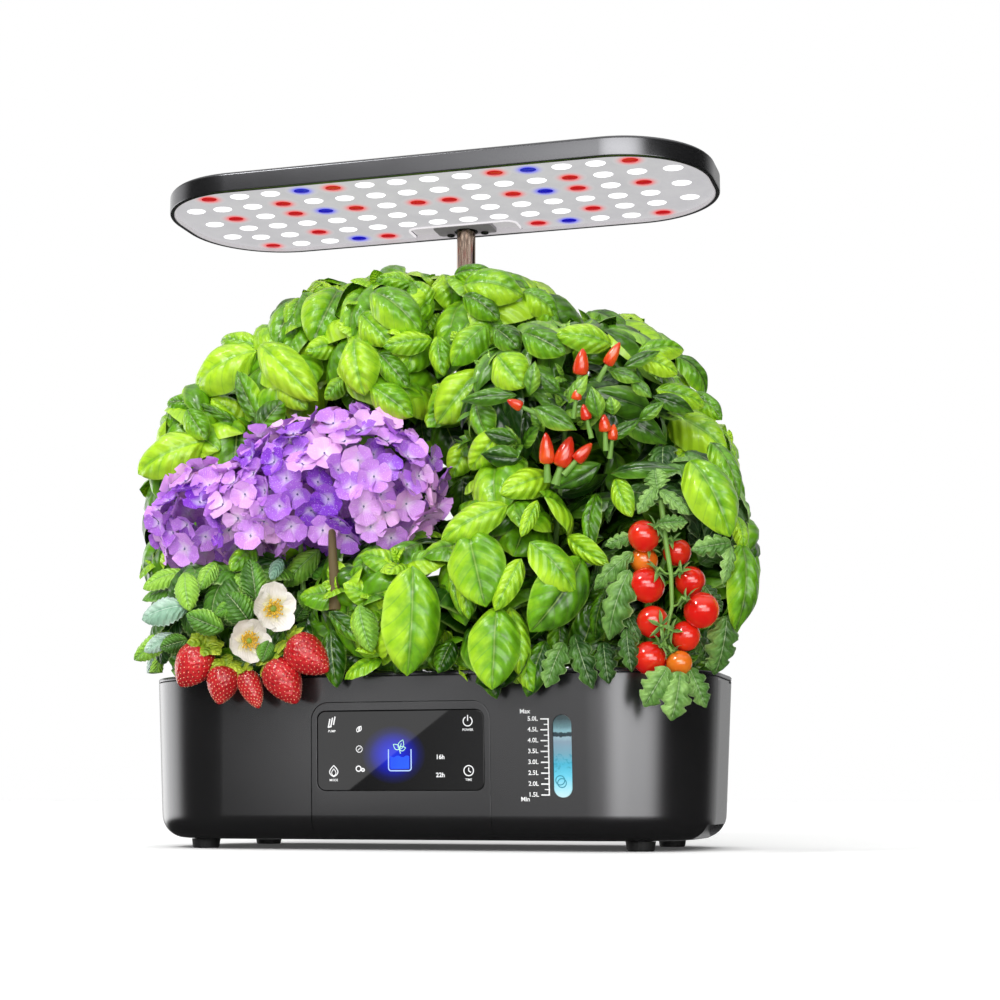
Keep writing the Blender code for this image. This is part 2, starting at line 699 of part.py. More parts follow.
def make_fill_cover(look, cover_carrier):
    """Swivel cover over the fill port: a tongue with a finger rib and a snap-in pin."""
    low = DECK_TOP + FIT_GAP
    high = low + COVER_THICKNESS
    pivot = cover_pivot()
    disc = PORT_RADIUS + COVER_MARGIN
    outline = []
    for radius, y, start in ((disc, PORT_Y, 0), (COVER_PIVOT_BOSS, pivot.y, 2)):
        for step in range(2 * CORNER_STEPS + 1):
            turn = (start + step / CORNER_STEPS) * QUARTER_TURN
            outline.append((PORT_X + radius * cos(turn), y + radius * sin(turn)))
    cover = loft("fill_cover", [level(outline, low), level(outline, high)])
    rib_end = disc / 2
    rib_low = (PORT_X - rib_end, PORT_Y - COVER_RIB_WIDTH / 2, high - COVER_THICKNESS / 2)
    rib_high = (PORT_X + rib_end, PORT_Y + COVER_RIB_WIDTH / 2, high + COVER_RIB_HEIGHT)
    fuse(cover, box("rib", rib_low, rib_high))
    snap_top = TANK_RIM
    snap_low = snap_top - COVER_SNAP_THICKNESS
    fuse(cover, turned("pin", [
        (COVER_PIN_RADIUS, snap_low - COVER_SNAP_THICKNESS),
        (COVER_SNAP_RADIUS, snap_low),
        (COVER_SNAP_RADIUS, snap_top),
        (COVER_PIN_RADIUS, snap_top),
        (COVER_PIN_RADIUS, low + COVER_THICKNESS / 2),
    ], pivot.x, pivot.y, SMALL_STEPS))
    return finish(cover, look, cover_carrier, pivot)


def basket_radius(depth):
    """Outer radius of a basket at a depth under its flange."""
    return BASKET_TOP_RADIUS + (BASKET_BOTTOM_RADIUS - BASKET_TOP_RADIUS) * depth / BASKET_DEPTH


def basket_mesh():
    """Tapered net cup with a flange and four root slots, round the Z axis, deck top at zero."""
    low = FIT_GAP - BASKET_DEPTH
    flange_top = FIT_GAP + BASKET_FLANGE_THICKNESS
    floor = low + BASKET_WALL
    cup = turned("basket", [
        (BASKET_BOTTOM_RADIUS, low),
        (BASKET_TOP_RADIUS, FIT_GAP),
        (BASKET_FLANGE_RADIUS, FIT_GAP),
        (BASKET_FLANGE_RADIUS, flange_top),
        (BASKET_TOP_RADIUS - BASKET_WALL, flange_top),
        (BASKET_BOTTOM_RADIUS - BASKET_WALL, floor),
    ], 0.0, 0.0, SMALL_STEPS)
    half = BASKET_SLOT_WIDTH / 2
    slot_low = floor + BASKET_WALL
    slot_high = slot_low + BASKET_SLOT_HEIGHT
    cut(cup, box("slot", (-OVERRUN, -half, slot_low), (OVERRUN, half, slot_high)))
    cut(cup, box("slot", (-half, -OVERRUN, slot_low), (half, OVERRUN, slot_high)))
    return take_mesh(cup)


def sponge_mesh():
    """Tapered growing sponge that fits inside a basket, deck top at zero."""
    top = FIT_GAP + BASKET_FLANGE_THICKNESS + SPONGE_PROUD
    low = top - SPONGE_HEIGHT
    inset = BASKET_WALL + SLIDE_GAP
    wide = BASKET_TOP_RADIUS - inset
    profile = [(basket_radius(-low) - inset, low), (wide, FIT_GAP), (wide, top)]
    return take_mesh(turned("sponge", profile, 0.0, 0.0, SMALL_STEPS))


def take_mesh(body):
    """Keep a solid's mesh and drop its object."""
    mesh = body.data
    bpy.data.objects.remove(body)
    return mesh


def make_pods(basket_look, sponge_look, deck_carrier):
    """A basket and a sponge in every hole of the deck."""
    kinds = (("basket", basket_mesh(), basket_look), ("sponge", sponge_mesh(), sponge_look))
    for kind, mesh, look in kinds:
        for number, pod in enumerate(all_pods(), 1):
            piece = bpy.data.objects.new(f"{kind}_{number:02d}", mesh)
            bpy.context.scene.collection.objects.link(piece)
            piece.location = pod_place(*pod)
            finish(piece, look, deck_carrier)


def make_mast(tube_look, collar_look, deck_carrier, lamp_carrier):
    """Telescopic mast: a fixed lower tube, a friction collar on it and the sliding upper tube."""
    low = MAST_SOCKET_LOW + MAST_SOCKET_FLOOR + FIT_GAP
    outer = MAST_LOWER_RADIUS
    inner = MAST_LOWER_RADIUS - MAST_TUBE_WALL
    profile = [(outer, low), (outer, MAST_LOWER_TOP), (inner, MAST_LOWER_TOP), (inner, low)]
    finish(turned("mast_lower", profile, MAST_X, MAST_Y, ring=True), tube_look, deck_carrier)

    around = MAST_LOWER_RADIUS + FIT_GAP
    through = MAST_UPPER_RADIUS + FIT_GAP
    seat = MAST_LOWER_TOP + FIT_GAP
    collar_top = seat + COLLAR_LIP
    collar_low = collar_top - COLLAR_HEIGHT
    profile = [
        (COLLAR_RADIUS, collar_low),
        (COLLAR_RADIUS, collar_top),
        (through, collar_top),
        (through, seat),
        (around, seat),
        (around, collar_low),
    ]
    finish(turned("mast_collar", profile, MAST_X, MAST_Y, ring=True), collar_look, deck_carrier)

    outer = MAST_UPPER_RADIUS
    inner = MAST_UPPER_RADIUS - MAST_TUBE_WALL
    low = MAST_LOWER_TOP - MAST_OVERLAP
    high = bracket_top() + MAST_SEAT_DEPTH
    profile = [(outer, low), (outer, high), (inner, high), (inner, low)]
    upper = turned("mast_upper", profile, MAST_X, MAST_Y, ring=True)
    finish(upper, tube_look, lamp_carrier, (MAST_X, MAST_Y, low))


def board_low():
    """Underside of the LED board."""
    return LAMP_UNDERSIDE + BEZEL_RECESS + BEZEL_THICKNESS + FIT_GAP


def bracket_top():
    """Top of the bracket plate, level with the board's top."""
    return board_low() + LED_BOARD_THICKNESS


def lamp_back():
    """The lamp's back edge, a little behind the mast."""
    return MAST_Y + LAMP_BACK_REACH


def lamp_loop(inset, z):
    """The lamp's outline drawn in by inset at a height."""
    radius = LAMP_CORNER_RADIUS - inset
    middle = (MAST_X, lamp_back() - LAMP_DEPTH / 2)
    return level(rounded(LAMP_WIDTH - 2 * inset, LAMP_DEPTH - 2 * inset, radius, middle=middle), z)


def bay_loop(grow, z):
    """Outline of the bay for the mast bracket at the lamp's back edge."""
    back = lamp_back() + OVERRUN
    front = lamp_back() - BAY_DEPTH - grow
    middle = (MAST_X, (back + front) / 2)
    radius = BAY_CORNER_RADIUS + grow
    return level(rounded(BAY_WIDTH + 2 * grow, back - front, radius, CORNER_STEPS // 2, middle), z)


def make_lamp_shell(look, lamp_carrier):
    """Lamp housing: a shallow tray open underneath, with a pad that takes the mast's bracket."""
    rim_top = LAMP_UNDERSIDE + LAMP_RIM_HEIGHT
    shell = loft("lamp_shell", [
        lamp_loop(LAMP_EDGE_ROUND, LAMP_UNDERSIDE),
        lamp_loop(0.0, LAMP_UNDERSIDE + LAMP_EDGE_ROUND),
        lamp_loop(0.0, rim_top - LAMP_CROWN),
        lamp_loop(LAMP_CROWN, rim_top),
        lamp_loop(LAMP_CROWN_INSET, rim_top + LAMP_CROWN),
    ])
    roof = rim_top - LAMP_ROOF
    tray = loft("tray", [lamp_loop(LAMP_WALL, LAMP_UNDERSIDE - OVERRUN), lamp_loop(LAMP_WALL, roof)])
    pad_under = bracket_top() + FIT_GAP
    pad = loft("pad", [bay_loop(-FIT_GAP, pad_under), bay_loop(-FIT_GAP, roof + OVERRUN)])
    cut(tray, pad)
    cut(shell, tray)
    seat_radius = MAST_UPPER_RADIUS + FIT_GAP
    seat = [(seat_radius, pad_under - OVERRUN), (seat_radius, pad_under + MAST_SEAT_DEPTH)]
    cut(shell, turned("mast_seat", seat, MAST_X, MAST_Y))
    hole_radius = SCREW_SHANK_RADIUS + FIT_GAP
    hole = [(hole_radius, pad_under - OVERRUN), (hole_radius, screw_tip() + FIT_GAP)]
    for x, y in screw_places():
        cut(shell, turned("screw_hole", hole, x, y, SMALL_STEPS))
    return finish(shell, look, lamp_carrier)


def screw_places():
    """Places of the two bracket screws, left and right of the mast."""
    return [(MAST_X + side * SCREW_SPACING / 2, MAST_Y + SCREW_BEHIND_MAST) for side in (-1, 1)]


def screw_seat():
    """Underside of the bracket plate, where the screw heads sit."""
    return bracket_top() - BRACKET_THICKNESS


def screw_tip():
    """Height of the bracket screws' tips."""
    return screw_seat() - FIT_GAP + SCREW_LENGTH


def led_places():
    """Places of the LEDs: a grid that leaves out the mast's bay, and a row of three at each end."""
    places = []
    middle_y = lamp_back() - LAMP_DEPTH / 2
    bay_reach = BAY_WIDTH / 2 + LED_LENGTH / 2
    bay_front = lamp_back() - BAY_DEPTH - LED_WIDTH / 2
    for row in range(LED_ROWS):
        y = middle_y + (row - (LED_ROWS - 1) / 2) * LED_PITCH
        for column in range(LED_COLUMNS):
            x = (column - (LED_COLUMNS - 1) / 2) * LED_PITCH
            if abs(x) > bay_reach or y < bay_front:
                places.append((MAST_X + x, y))
    for side in (-1, 1):
        x = MAST_X + side * SIDE_LED_X
        places.extend((x, middle_y + step * SIDE_LED_PITCH) for step in (-1, 0, 1))
    return places


def make_led_board(look, lamp_carrier):
    """White board with its raised LEDs, cut back round the mast's bay."""
    low = board_low()
    high = low + LED_BOARD_THICKNESS
    inset = LAMP_WALL + FIT_GAP
    board = loft("led_board", [lamp_loop(inset, low), lamp_loop(inset, high)])
    cut(board, loft("bay", [bay_loop(0.0, low - OVERRUN), bay_loop(0.0, high + OVERRUN)]))

    def fill_leds(shape):
        for x, y in led_places():
            half_x, half_y = LED_LENGTH / 2, LED_WIDTH / 2
            outline = rectangle(x - half_x, x + half_x, y - half_y, y + half_y)
            heights = (low - LED_HEIGHT, low + LED_BOARD_THICKNESS / 2)
            skin(shape, [level(outline, z) for z in heights])

    fuse(board, solid_from("leds", fill_leds))
    return finish(board, look, lamp_carrier)


def make_bezel(look, lamp_carrier):
    """White ring that holds the board in the tray, open at the mast's bay."""
    low = LAMP_UNDERSIDE + BEZEL_RECESS
    high = low + BEZEL_THICKNESS
    outer = LAMP_WALL + FIT_GAP
    inner = outer + BEZEL_WIDTH
    loops = [lamp_loop(outer, low), lamp_loop(outer, high), lamp_loop(inner, high), lamp_loop(inner, low)]
    bezel = loft("lamp_bezel", loops, ring=True)
    cut(bezel, loft("bay", [bay_loop(0.0, low - OVERRUN), bay_loop(0.0, high + OVERRUN)]))
    return finish(bezel, look, lamp_carrier)


def make_bracket(plate_look, screw_look, lamp_carrier):
    """Bracket plate round the mast's head and its two screws."""
    high = bracket_top()
    low = screw_seat()
    front = lamp_back() - BAY_DEPTH + BRACKET_FRONT_MARGIN
    back = lamp_back() - LAMP_WALL - FIT_GAP
    middle = (MAST_X, (front + back) / 2)
    outline = rounded(BRACKET_WIDTH, back - front, BRACKET_CORNER_RADIUS, CORNER_STEPS // 2, middle)
    plate = loft("lamp_bracket", [level(outline, low), level(outline, high)])
    hole = MAST_UPPER_RADIUS + FIT_GAP
    cut(plate, turned("mast_hole", [(hole, low - OVERRUN), (hole, high + OVERRUN)], MAST_X, MAST_Y))
    seat = low - FIT_GAP
    face = seat - SCREW_HEAD_HEIGHT
    shank = SCREW_SHANK_RADIUS + FIT_GAP
    slot_reach = SCREW_HEAD_RADIUS - SCREW_SLOT_WIDTH
    slot_half = SCREW_SLOT_WIDTH / 2
    for (x, y), name in zip(screw_places(), ("left", "right")):
        cut(plate, turned("hole", [(shank, low - OVERRUN), (shank, high + OVERRUN)], x, y, SMALL_STEPS))
        screw = turned(f"bracket_screw_{name}", [
            (SCREW_HEAD_RADIUS - FIT_GAP, face),
            (SCREW_HEAD_RADIUS, face + FIT_GAP),
            (SCREW_HEAD_RADIUS, seat),
            (SCREW_SHANK_RADIUS, seat),
            (SCREW_SHANK_RADIUS, screw_tip()),
        ], x, y, SMALL_STEPS)
        for half_x, half_y in ((slot_reach, slot_half), (slot_half, slot_reach)):
            low_corner = (x - half_x, y - half_y, face - OVERRUN)
            cut(screw, box("slot", low_corner, (x + half_x, y + half_y, face + SCREW_SLOT_DEPTH)))
        finish(screw, screw_look, lamp_carrier)
    finish(plate, plate_look, lamp_carrier)


def spread_along(spread, direction):
    """Reach of an ellipsoid along a unit direction."""
    return 1 / sum((direction[i] / spread[i]) ** 2 for i in range(3)) ** 0.5


def nearest_on(start, end, point):
    """Nearest point to a point on the line between start and end."""
    along = end - start
    share = max(0.0, min(1.0, (point - start).dot(along) / along.length_squared))
    return start + along * share


def room_planes(plant, plants):
    """Planes that keep a plant to its cell: pairs of an outward direction and a distance from zero."""
    planes = []
    for other in plants:
        if other is plant:
            continue
        between = other.centre - plant.centre
        outward = between.normalized()
        own = spread_along(plant.spread, outward)
        reach = between.length * own / (own + spread_along(other.spread, outward)) - FOLIAGE_GAP / 2
        planes.append((outward, outward.dot(plant.centre) + reach))
        planes.append(plane_before(plant.centre, other.root, other.centre, other.stem_radius))
    mast_foot = Vector((MAST_X, MAST_Y, DECK_TOP))
    mast_head = Vector((MAST_X, MAST_Y, LAMP_UNDERSIDE))
    planes.append(plane_before(plant.centre, mast_foot, mast_head, COLLAR_RADIUS))
    planes.append((Vector((0, 0, 1)), FOLIAGE_TOP))
    for side in (-1, 1):
        planes.append((Vector((side, 0, 0)), FOLIAGE_HALF_WIDTH))
        planes.append((Vector((0, side, 0)), FOLIAGE_HALF_DEPTH))
    return planes


def plane_before(centre, start, end, radius):
    """The plane that holds a crown off a stem or the mast."""
    point = nearest_on(start, end, centre)
    outward = (point - centre).normalized()
    return outward, outward.dot(point) - radius - FOLIAGE_GAP


def crown(name, centre, spread, planes, steps):
    """An ellipsoid flattened where it meets the planes round it; steps are round and up."""
    around, up = steps

    def reach(tilt, turn):
        direction = Vector((sin(tilt) * cos(turn), sin(tilt) * sin(turn), -cos(tilt)))
        limits = [spread_along(spread, direction)]
        for outward, distance in planes:
            facing = outward.dot(direction)
            if facing > 0:
                limits.append((distance - outward.dot(centre)) / facing)
        return centre + direction * min(limits)

    def fill(shape):
        rows = []
        for step in range(1, up):
            rows.append([shape.verts.new(reach(pi * step / up, 2 * pi * k / around)) for k in range(around)])
        tips = (shape.verts.new(reach(0, 0)), shape.verts.new(reach(pi, 0)))
        for i in range(around):
            j = (i + 1) % around
            for low, high in zip(rows, rows[1:]):
                shape.faces.new((low[i], low[j], high[j], high[i]))
            shape.faces.new((rows[0][j], rows[0][i], tips[0]))
            shape.faces.new((rows[-1][i], rows[-1][j], tips[1]))

    return solid_from(name, fill)


def make_stem(plant):
    """The stem from the sponge up into the crown, cut off level at its foot."""
    loops = []
    for point in (plant.root, plant.centre):
        loops.append(circle(plant.stem_radius, point.z, point.x, point.y, STEM_STEPS))
    return loft("stem", loops)


def make_plants(looks, deck_carrier):
    """Twelve plants, one a pod."""
    plants = [
        Plant("strawberry_plant", (0, 0), SOFT_STEM_RADIUS, (-0.55, -0.53, 0.125), (0.31, 0.46, 0.155),
              ((-0.50, -0.90, 0.01), (0.15, 0.085, 0.085))),
        Plant("hydrangea_plant", (1, 0), WOODY_STEM_RADIUS, (-0.36, -0.52, 0.44), (0.50, 0.50, 0.175)),
        Plant("basil_plant_front_left", (2, 0), LEAFY_STEM_RADIUS, (-0.03, -0.56, 0.18), (0.25, 0.42, 0.23),
              ((-0.01, -0.90, 0.03), (0.10, 0.085, 0.075))),
        Plant("basil_plant_front_right", (3, 0), LEAFY_STEM_RADIUS, (0.29, -0.56, 0.20), (0.25, 0.42, 0.27),
              ((0.28, -0.90, 0.02), (0.11, 0.085, 0.085))),
        Plant("chilli_plant", (4, 0), LEAFY_STEM_RADIUS, (0.44, -0.44, 0.58), (0.34, 0.46, 0.23)),
        Plant("tomato_plant", (5, 0), WOODY_STEM_RADIUS, (0.745, -0.50, 0.22), (0.255, 0.48, 0.30),
              ((0.72, -0.90, 0.01), (0.13, 0.085, 0.10))),
        Plant("basil_plant_far_left", (0, 1), LEAFY_STEM_RADIUS, (-0.70, 0.30, 0.43), (0.33, 0.56, 0.42)),
        Plant("basil_plant_left", (1, 1), LEAFY_STEM_RADIUS, (-0.42, 0.30, 0.62), (0.31, 0.62, 0.39)),
        Plant("basil_plant_centre_left", (2, 1), LEAFY_STEM_RADIUS, (-0.13, 0.12, 0.62), (0.29, 0.66, 0.41)),
        Plant("basil_plant_centre_right", (3, 1), LEAFY_STEM_RADIUS, (0.17, 0.16, 0.62), (0.29, 0.66, 0.41)),
        Plant("basil_plant_right", (4, 1), LEAFY_STEM_RADIUS, (0.43, 0.38, 0.54), (0.31, 0.63, 0.36)),
        Plant("basil_plant_far_right", (5, 1), LEAFY_STEM_RADIUS, (0.67, 0.24, 0.31), (0.285, 0.56, 0.40)),
    ]
    over_deck = (Vector((0, 0, -1)), -FOLIAGE_BASE)
    before_tank = (Vector((0, 1, 0)), -TANK_DEPTH / 2 - FOLIAGE_GAP)
    for plant in plants:
        planes = room_planes(plant, plants)
        body = crown(plant.name, plant.centre, plant.spread, planes + [over_deck], CROWN_STEPS)
        fuse(body, make_stem(plant))
        if plant.tuft:
            centre, spread = foliage_point(plant.tuft[0]), foliage_size(plant.tuft[1])
            fuse(body, crown("tuft", centre, spread, planes + [before_tank], TUFT_STEPS))
        finish(body, looks[plant.name.split("_")[0]], deck_carrier)


def main():
    """Build the garden."""
    for old in list(bpy.data.objects):
        bpy.data.objects.remove(old)

    charcoal = material("charcoal_abs", (0.055, 0.055, 0.058), 0.38)
    dark_trim = material("dark_trim_abs", (0.10, 0.10, 0.105), 0.42)
    touch_glass = material("touch_glass", (0.02, 0.02, 0.022), 0.08)
    circuit = material("circuit_board", (0.02, 0.12, 0.06), 0.5)
    clear = material("clear_window", (0.45, 0.75, 0.85), 0.08, alpha=0.5)
    rubber = material("black_rubber", (0.015, 0.015, 0.015), 0.8)
    pump_plastic = material("pump_abs", (0.03, 0.03, 0.03), 0.5)
    white_plastic = material("white_plastic", (0.78, 0.78, 0.79), 0.35)
    bronze = material("bronze_plated_tube", (0.33, 0.25, 0.20), 0.18, 1.0)
    steel = material("screw_steel", (0.45, 0.45, 0.46), 0.3, 1.0)
    net_plastic = material("basket_pp", (0.70, 0.72, 0.72), 0.35)
    sponge = material("growing_sponge", (0.22, 0.10, 0.05), 0.95)
    green = material("basil_leaf", (0.12, 0.42, 0.03), 0.5)
    looks = {
        "basil": green,
        "strawberry": material("strawberry_leaf", (0.10, 0.33, 0.05), 0.55),
        "hydrangea": material("hydrangea_petal", (0.45, 0.25, 0.70), 0.6),
        "chilli": material("chilli_leaf", (0.06, 0.25, 0.03), 0.5),
        "tomato": material("tomato_leaf", (0.16, 0.34, 0.08), 0.55),
    }

    deck_carrier = carrier("deck_carrier", (MAST_X, MAST_Y, DECK_TOP))
    lamp_carrier = carrier("lamp_carrier", (MAST_X, MAST_Y, MAST_LOWER_TOP), deck_carrier)
    cover_carrier = carrier("cover_carrier", cover_pivot(), deck_carrier)
    pump_carrier = carrier("pump_carrier", (PUMP_X, PUMP_Y, TANK_UNDERSIDE))

    make_tank(charcoal)
    make_feet(rubber)
    make_inlet(dark_trim)
    make_control_panel(charcoal, touch_glass, circuit)
    make_level_window(clear)
    make_pump(pump_plastic, white_plastic, clear, pump_carrier)
    make_deck(charcoal, deck_carrier)
    make_fill_cover(dark_trim, cover_carrier)
    make_pods(net_plastic, sponge, deck_carrier)
    make_mast(bronze, dark_trim, deck_carrier, lamp_carrier)
    make_lamp_shell(dark_trim, lamp_carrier)
    make_led_board(white_plastic, lamp_carrier)
    make_bezel(white_plastic, lamp_carrier)
    make_bracket(dark_trim, steel, lamp_carrier)
    make_plants(looks, deck_carrier)


if __name__ == "__main__":
    main()
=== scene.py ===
"""Countertop hydroponic garden: its visible pieces, their finishes, the studio and the camera."""
import logging
import math
import random
from dataclasses import dataclass, field
from enum import Enum
from typing import Optional

import bmesh
import bpy
from mathutils import Euler, Matrix, Vector
from mathutils.bvhtree import BVHTree


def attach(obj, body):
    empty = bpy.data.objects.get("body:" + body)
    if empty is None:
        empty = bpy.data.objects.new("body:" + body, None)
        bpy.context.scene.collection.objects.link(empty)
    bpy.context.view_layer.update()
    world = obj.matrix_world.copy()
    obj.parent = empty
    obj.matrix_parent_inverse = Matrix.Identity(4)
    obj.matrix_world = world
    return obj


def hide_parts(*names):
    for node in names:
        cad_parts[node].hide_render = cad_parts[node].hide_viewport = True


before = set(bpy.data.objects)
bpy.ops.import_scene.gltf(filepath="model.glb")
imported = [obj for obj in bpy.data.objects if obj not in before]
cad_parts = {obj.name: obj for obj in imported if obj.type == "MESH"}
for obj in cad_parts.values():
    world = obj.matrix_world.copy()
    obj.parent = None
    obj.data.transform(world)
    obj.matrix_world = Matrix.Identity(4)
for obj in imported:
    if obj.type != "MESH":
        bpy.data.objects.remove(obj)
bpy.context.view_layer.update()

LOG = logging.getLogger("garden")

# Sizes that the pieces share, in metres.
TANK_HALF_X, TANK_HALF_Y, TANK_RADIUS = 0.200, 0.094, 0.076
TANK_LOW, TANK_RIM, TANK_WALL, TANK_FILLET = 0.0065, 0.11255, 0.003, 0.0165
DECK_LOW, DECK_TOP = 0.11285, 0.1155
WALL_SLOPE = math.tan(math.radians(3.1))
PANEL_HALF_X, PANEL_TOP, PANEL_RADIUS, PANEL_DEPTH, PANEL_GAP = 0.0615, 0.096, 0.012, 0.024, 0.0003
GLASS_HALF_X, GLASS_LOW, GLASS_HIGH, GLASS_RADIUS = 0.057, 0.0385, 0.090, 0.0055
GLASS_RECESS, GLASS_THICK = 0.0004, 0.002
WINDOW_X, WINDOW_HALF, WINDOW_LOW, WINDOW_HIGH = 0.109, 0.006, 0.034, 0.086
LAMP_HALF_X, LAMP_HALF_Y, LAMP_RADIUS, LAMP_Y = 0.2015, 0.0772, 0.067, -0.0106
LAMP_LOW, LAMP_TOP, LAMP_ROOF = 0.4551, 0.4710, 0.4663
BOARD_LOW, BOARD_HIGH, LED_LOW = 0.4580, 0.4596, 0.4572
BAY_HALF, BAY_FRONT, BAY_RADIUS = 0.042, 0.0388, 0.008
MAST_Y, MAST_CLEARANCE = 0.055, 0.0135
BEYOND_WALL = 0.130
POD_X, POD_ROWS, POD_RADIUS = (-0.140, -0.084, -0.028, 0.028, 0.084, 0.140), (-0.040, 0.035), 0.0138
PORT_PLACE, PORT_RADIUS = (0.177, 0.009), 0.011
# The foliage's greatest height, and its reach to the left, to the right, and to the front and back.
FOLIAGE_TOP = 0.4183
FOLIAGE_REACH = (-0.2530, 0.2420, 0.1280)
CORNER_SEGMENTS = 24
GOLDEN_ANGLE = math.pi * (3 - math.sqrt(5))

# Places that turn a level shape upright, and onto the sloped front wall.
UPRIGHT = Matrix(((1, 0, 0, 0), (0, 0, -1, 0), (0, 1, 0, 0), (0, 0, 0, 1)))
FRONT = Matrix((
    (1, 0, 0, 0),
    (0, -WALL_SLOPE, -1, -TANK_HALF_Y + DECK_TOP * WALL_SLOPE),
    (0, 1, 0, 0),
    (0, 0, 0, 1),
))


def lean(z: float) -> float:
    """Say how far the tank's wall is drawn in at a height."""
    return (DECK_TOP - z) * WALL_SLOPE


def linear(code: str) -> tuple[float, float, float, float]:
    """Turn an sRGB hex colour into linear RGBA.

    Args:
        code: The colour, as #rrggbb.

    Returns:
        Linear red, green, blue and an alpha of one.
    """
    parts = [int(code[i:i + 2], 16) / 255.0 for i in (1, 3, 5)]
    return (*[v / 12.92 if v <= 0.04045 else ((v + 0.055) / 1.055) ** 2.4 for v in parts], 1.0)


def empty_tree(block: bpy.types.ID) -> bpy.types.NodeTree:
    """Give a material or world an empty node tree.

    Args:
        block: The material or world.

    Returns:
        Its node tree.
    """
    block.use_nodes = True
    block.node_tree.nodes.clear()
    return block.node_tree


def connect(tree: bpy.types.NodeTree, node: bpy.types.Node, inputs: dict) -> None:
    """Link or set a node's inputs.

    Args:
        tree: The node tree that holds the node.
        node: The node.
        inputs: A socket, a node whose first output is meant, or a value, for each input's name or number.
    """
    for key, value in inputs.items():
        source = value.outputs[0] if isinstance(value, bpy.types.Node) else value
        if isinstance(source, bpy.types.NodeSocket):
            tree.links.new(source, node.inputs[key])
        else:
            node.inputs[key].default_value = source


def add_node(tree: bpy.types.NodeTree, kind: str, inputs: Optional[dict] = None, stops: tuple = (),
             **settings: object) -> bpy.types.Node:
    """Add a node with its settings, its links and a ramp's stops.

    Args:
        tree: The node tree that gets the node.
        kind: The node's type, without the prefix that all of them share.
        inputs: What goes into each input, as connect takes it.
        stops: A colour ramp's places and hex colours.
        settings: Properties of the node.

    Returns:
        The new node.
    """
    node = tree.nodes.new("ShaderNode" + kind)
    for name, value in settings.items():
        setattr(node, name, value)
    connect(tree, node, inputs or {})
    for number, (place, code) in enumerate(stops):
        elements = node.color_ramp.elements
        stop = elements[number] if number < len(elements) else elements.new(place)
        stop.position = place
        stop.color = linear(code)
    return node


@dataclass(frozen=True)
class Finish:
    """A real material and how its surface was made: one Principled shader with its own pattern."""

    name: str
    colour: str
    roughness: float = 0.4
    metallic: float = 0.0
    coat: float = 0.0

    def pattern(self, tree: bpy.types.NodeTree) -> dict:
        """Add the nodes that break up the plain colour.

        Args:
            tree: The material's node tree.

        Returns:
            What goes into the shader's inputs.
        """
        raise NotImplementedError

    def material(self) -> bpy.types.Material:
        """Make the material once and give it again after that.

        Returns:
            The material.
        """
        made = bpy.data.materials.get(self.name)
        if made:
            return made
        made = bpy.data.materials.new(self.name)
        tree = empty_tree(made)
        shader = add_node(tree, "BsdfPrincipled", {
            "Base Color": linear(self.colour), "Roughness": self.roughness, "Metallic": self.metallic,
            "Coat Weight": self.coat, "Coat Roughness": 0.08})
        connect(tree, shader, self.pattern(tree))
        add_node(tree, "OutputMaterial", {"Surface": shader})
        return made


@dataclass(frozen=True)
class MouldedPlastic(Finish):
    """Injection-moulded plastic: a fine spark-eroded grain that spreads the highlights a little."""

    second: str = "#000000"
    grain: float = 0.00002

    def pattern(self, tree: bpy.types.NodeTree) -> dict:
        """Add a soft drift of colour, uneven gloss and the mould's grain.

        Args:
            tree: The material's node tree.

        Returns:
            What goes into the shader's inputs.
        """
        place = add_node(tree, "TexCoord").outputs["Object"]
        drift = add_node(tree, "TexNoise", {"Vector": place, "Scale": 14.0, "Detail": 3.0})
        fine = add_node(tree, "TexNoise", {"Vector": place, "Scale": 1400.0, "Detail": 2.0})
        return {
            "Base Color": add_node(tree, "ValToRGB", {"Fac": drift},
                                   ((0.35, self.colour), (0.75, self.second))),
            "Roughness": add_node(tree, "MapRange", {
                "Value": drift, "To Min": self.roughness - 0.03, "To Max": self.roughness + 0.03}),
            "Normal": add_node(tree, "Bump", {"Height": fine, "Distance": self.grain, "Strength": 0.35}),
        }


@dataclass(frozen=True)
class DrawnMetal(Finish):
    """Plated or turned metal: fine lines along it draw the highlights into streaks."""

    stretch: tuple[float, float, float] = (900.0, 900.0, 12.0)
    second: str = "#000000"

    def pattern(self, tree: bpy.types.NodeTree) -> dict:
        """Add the fine drawn lines to the colour, gloss and bump.

        Args:
            tree: The material's node tree.

        Returns:
            What goes into the shader's inputs.
        """
        place = add_node(tree, "TexCoord").outputs["Object"]
        lined = add_node(tree, "Mapping", {"Vector": place, "Scale": self.stretch})
        lines = add_node(tree, "TexNoise", {"Vector": lined, "Scale": 1.0, "Detail": 4.0})
        return {
            "Base Color": add_node(tree, "ValToRGB", {"Fac": lines},
                                   ((0.35, self.colour), (0.65, self.second))),
            "Roughness": add_node(tree, "MapRange", {
                "Value": lines, "To Min": self.roughness - 0.06, "To Max": self.roughness + 0.08}),
            "Normal": add_node(tree, "Bump", {"Height": lines, "Distance": 0.00002, "Strength": 0.2}),
        }


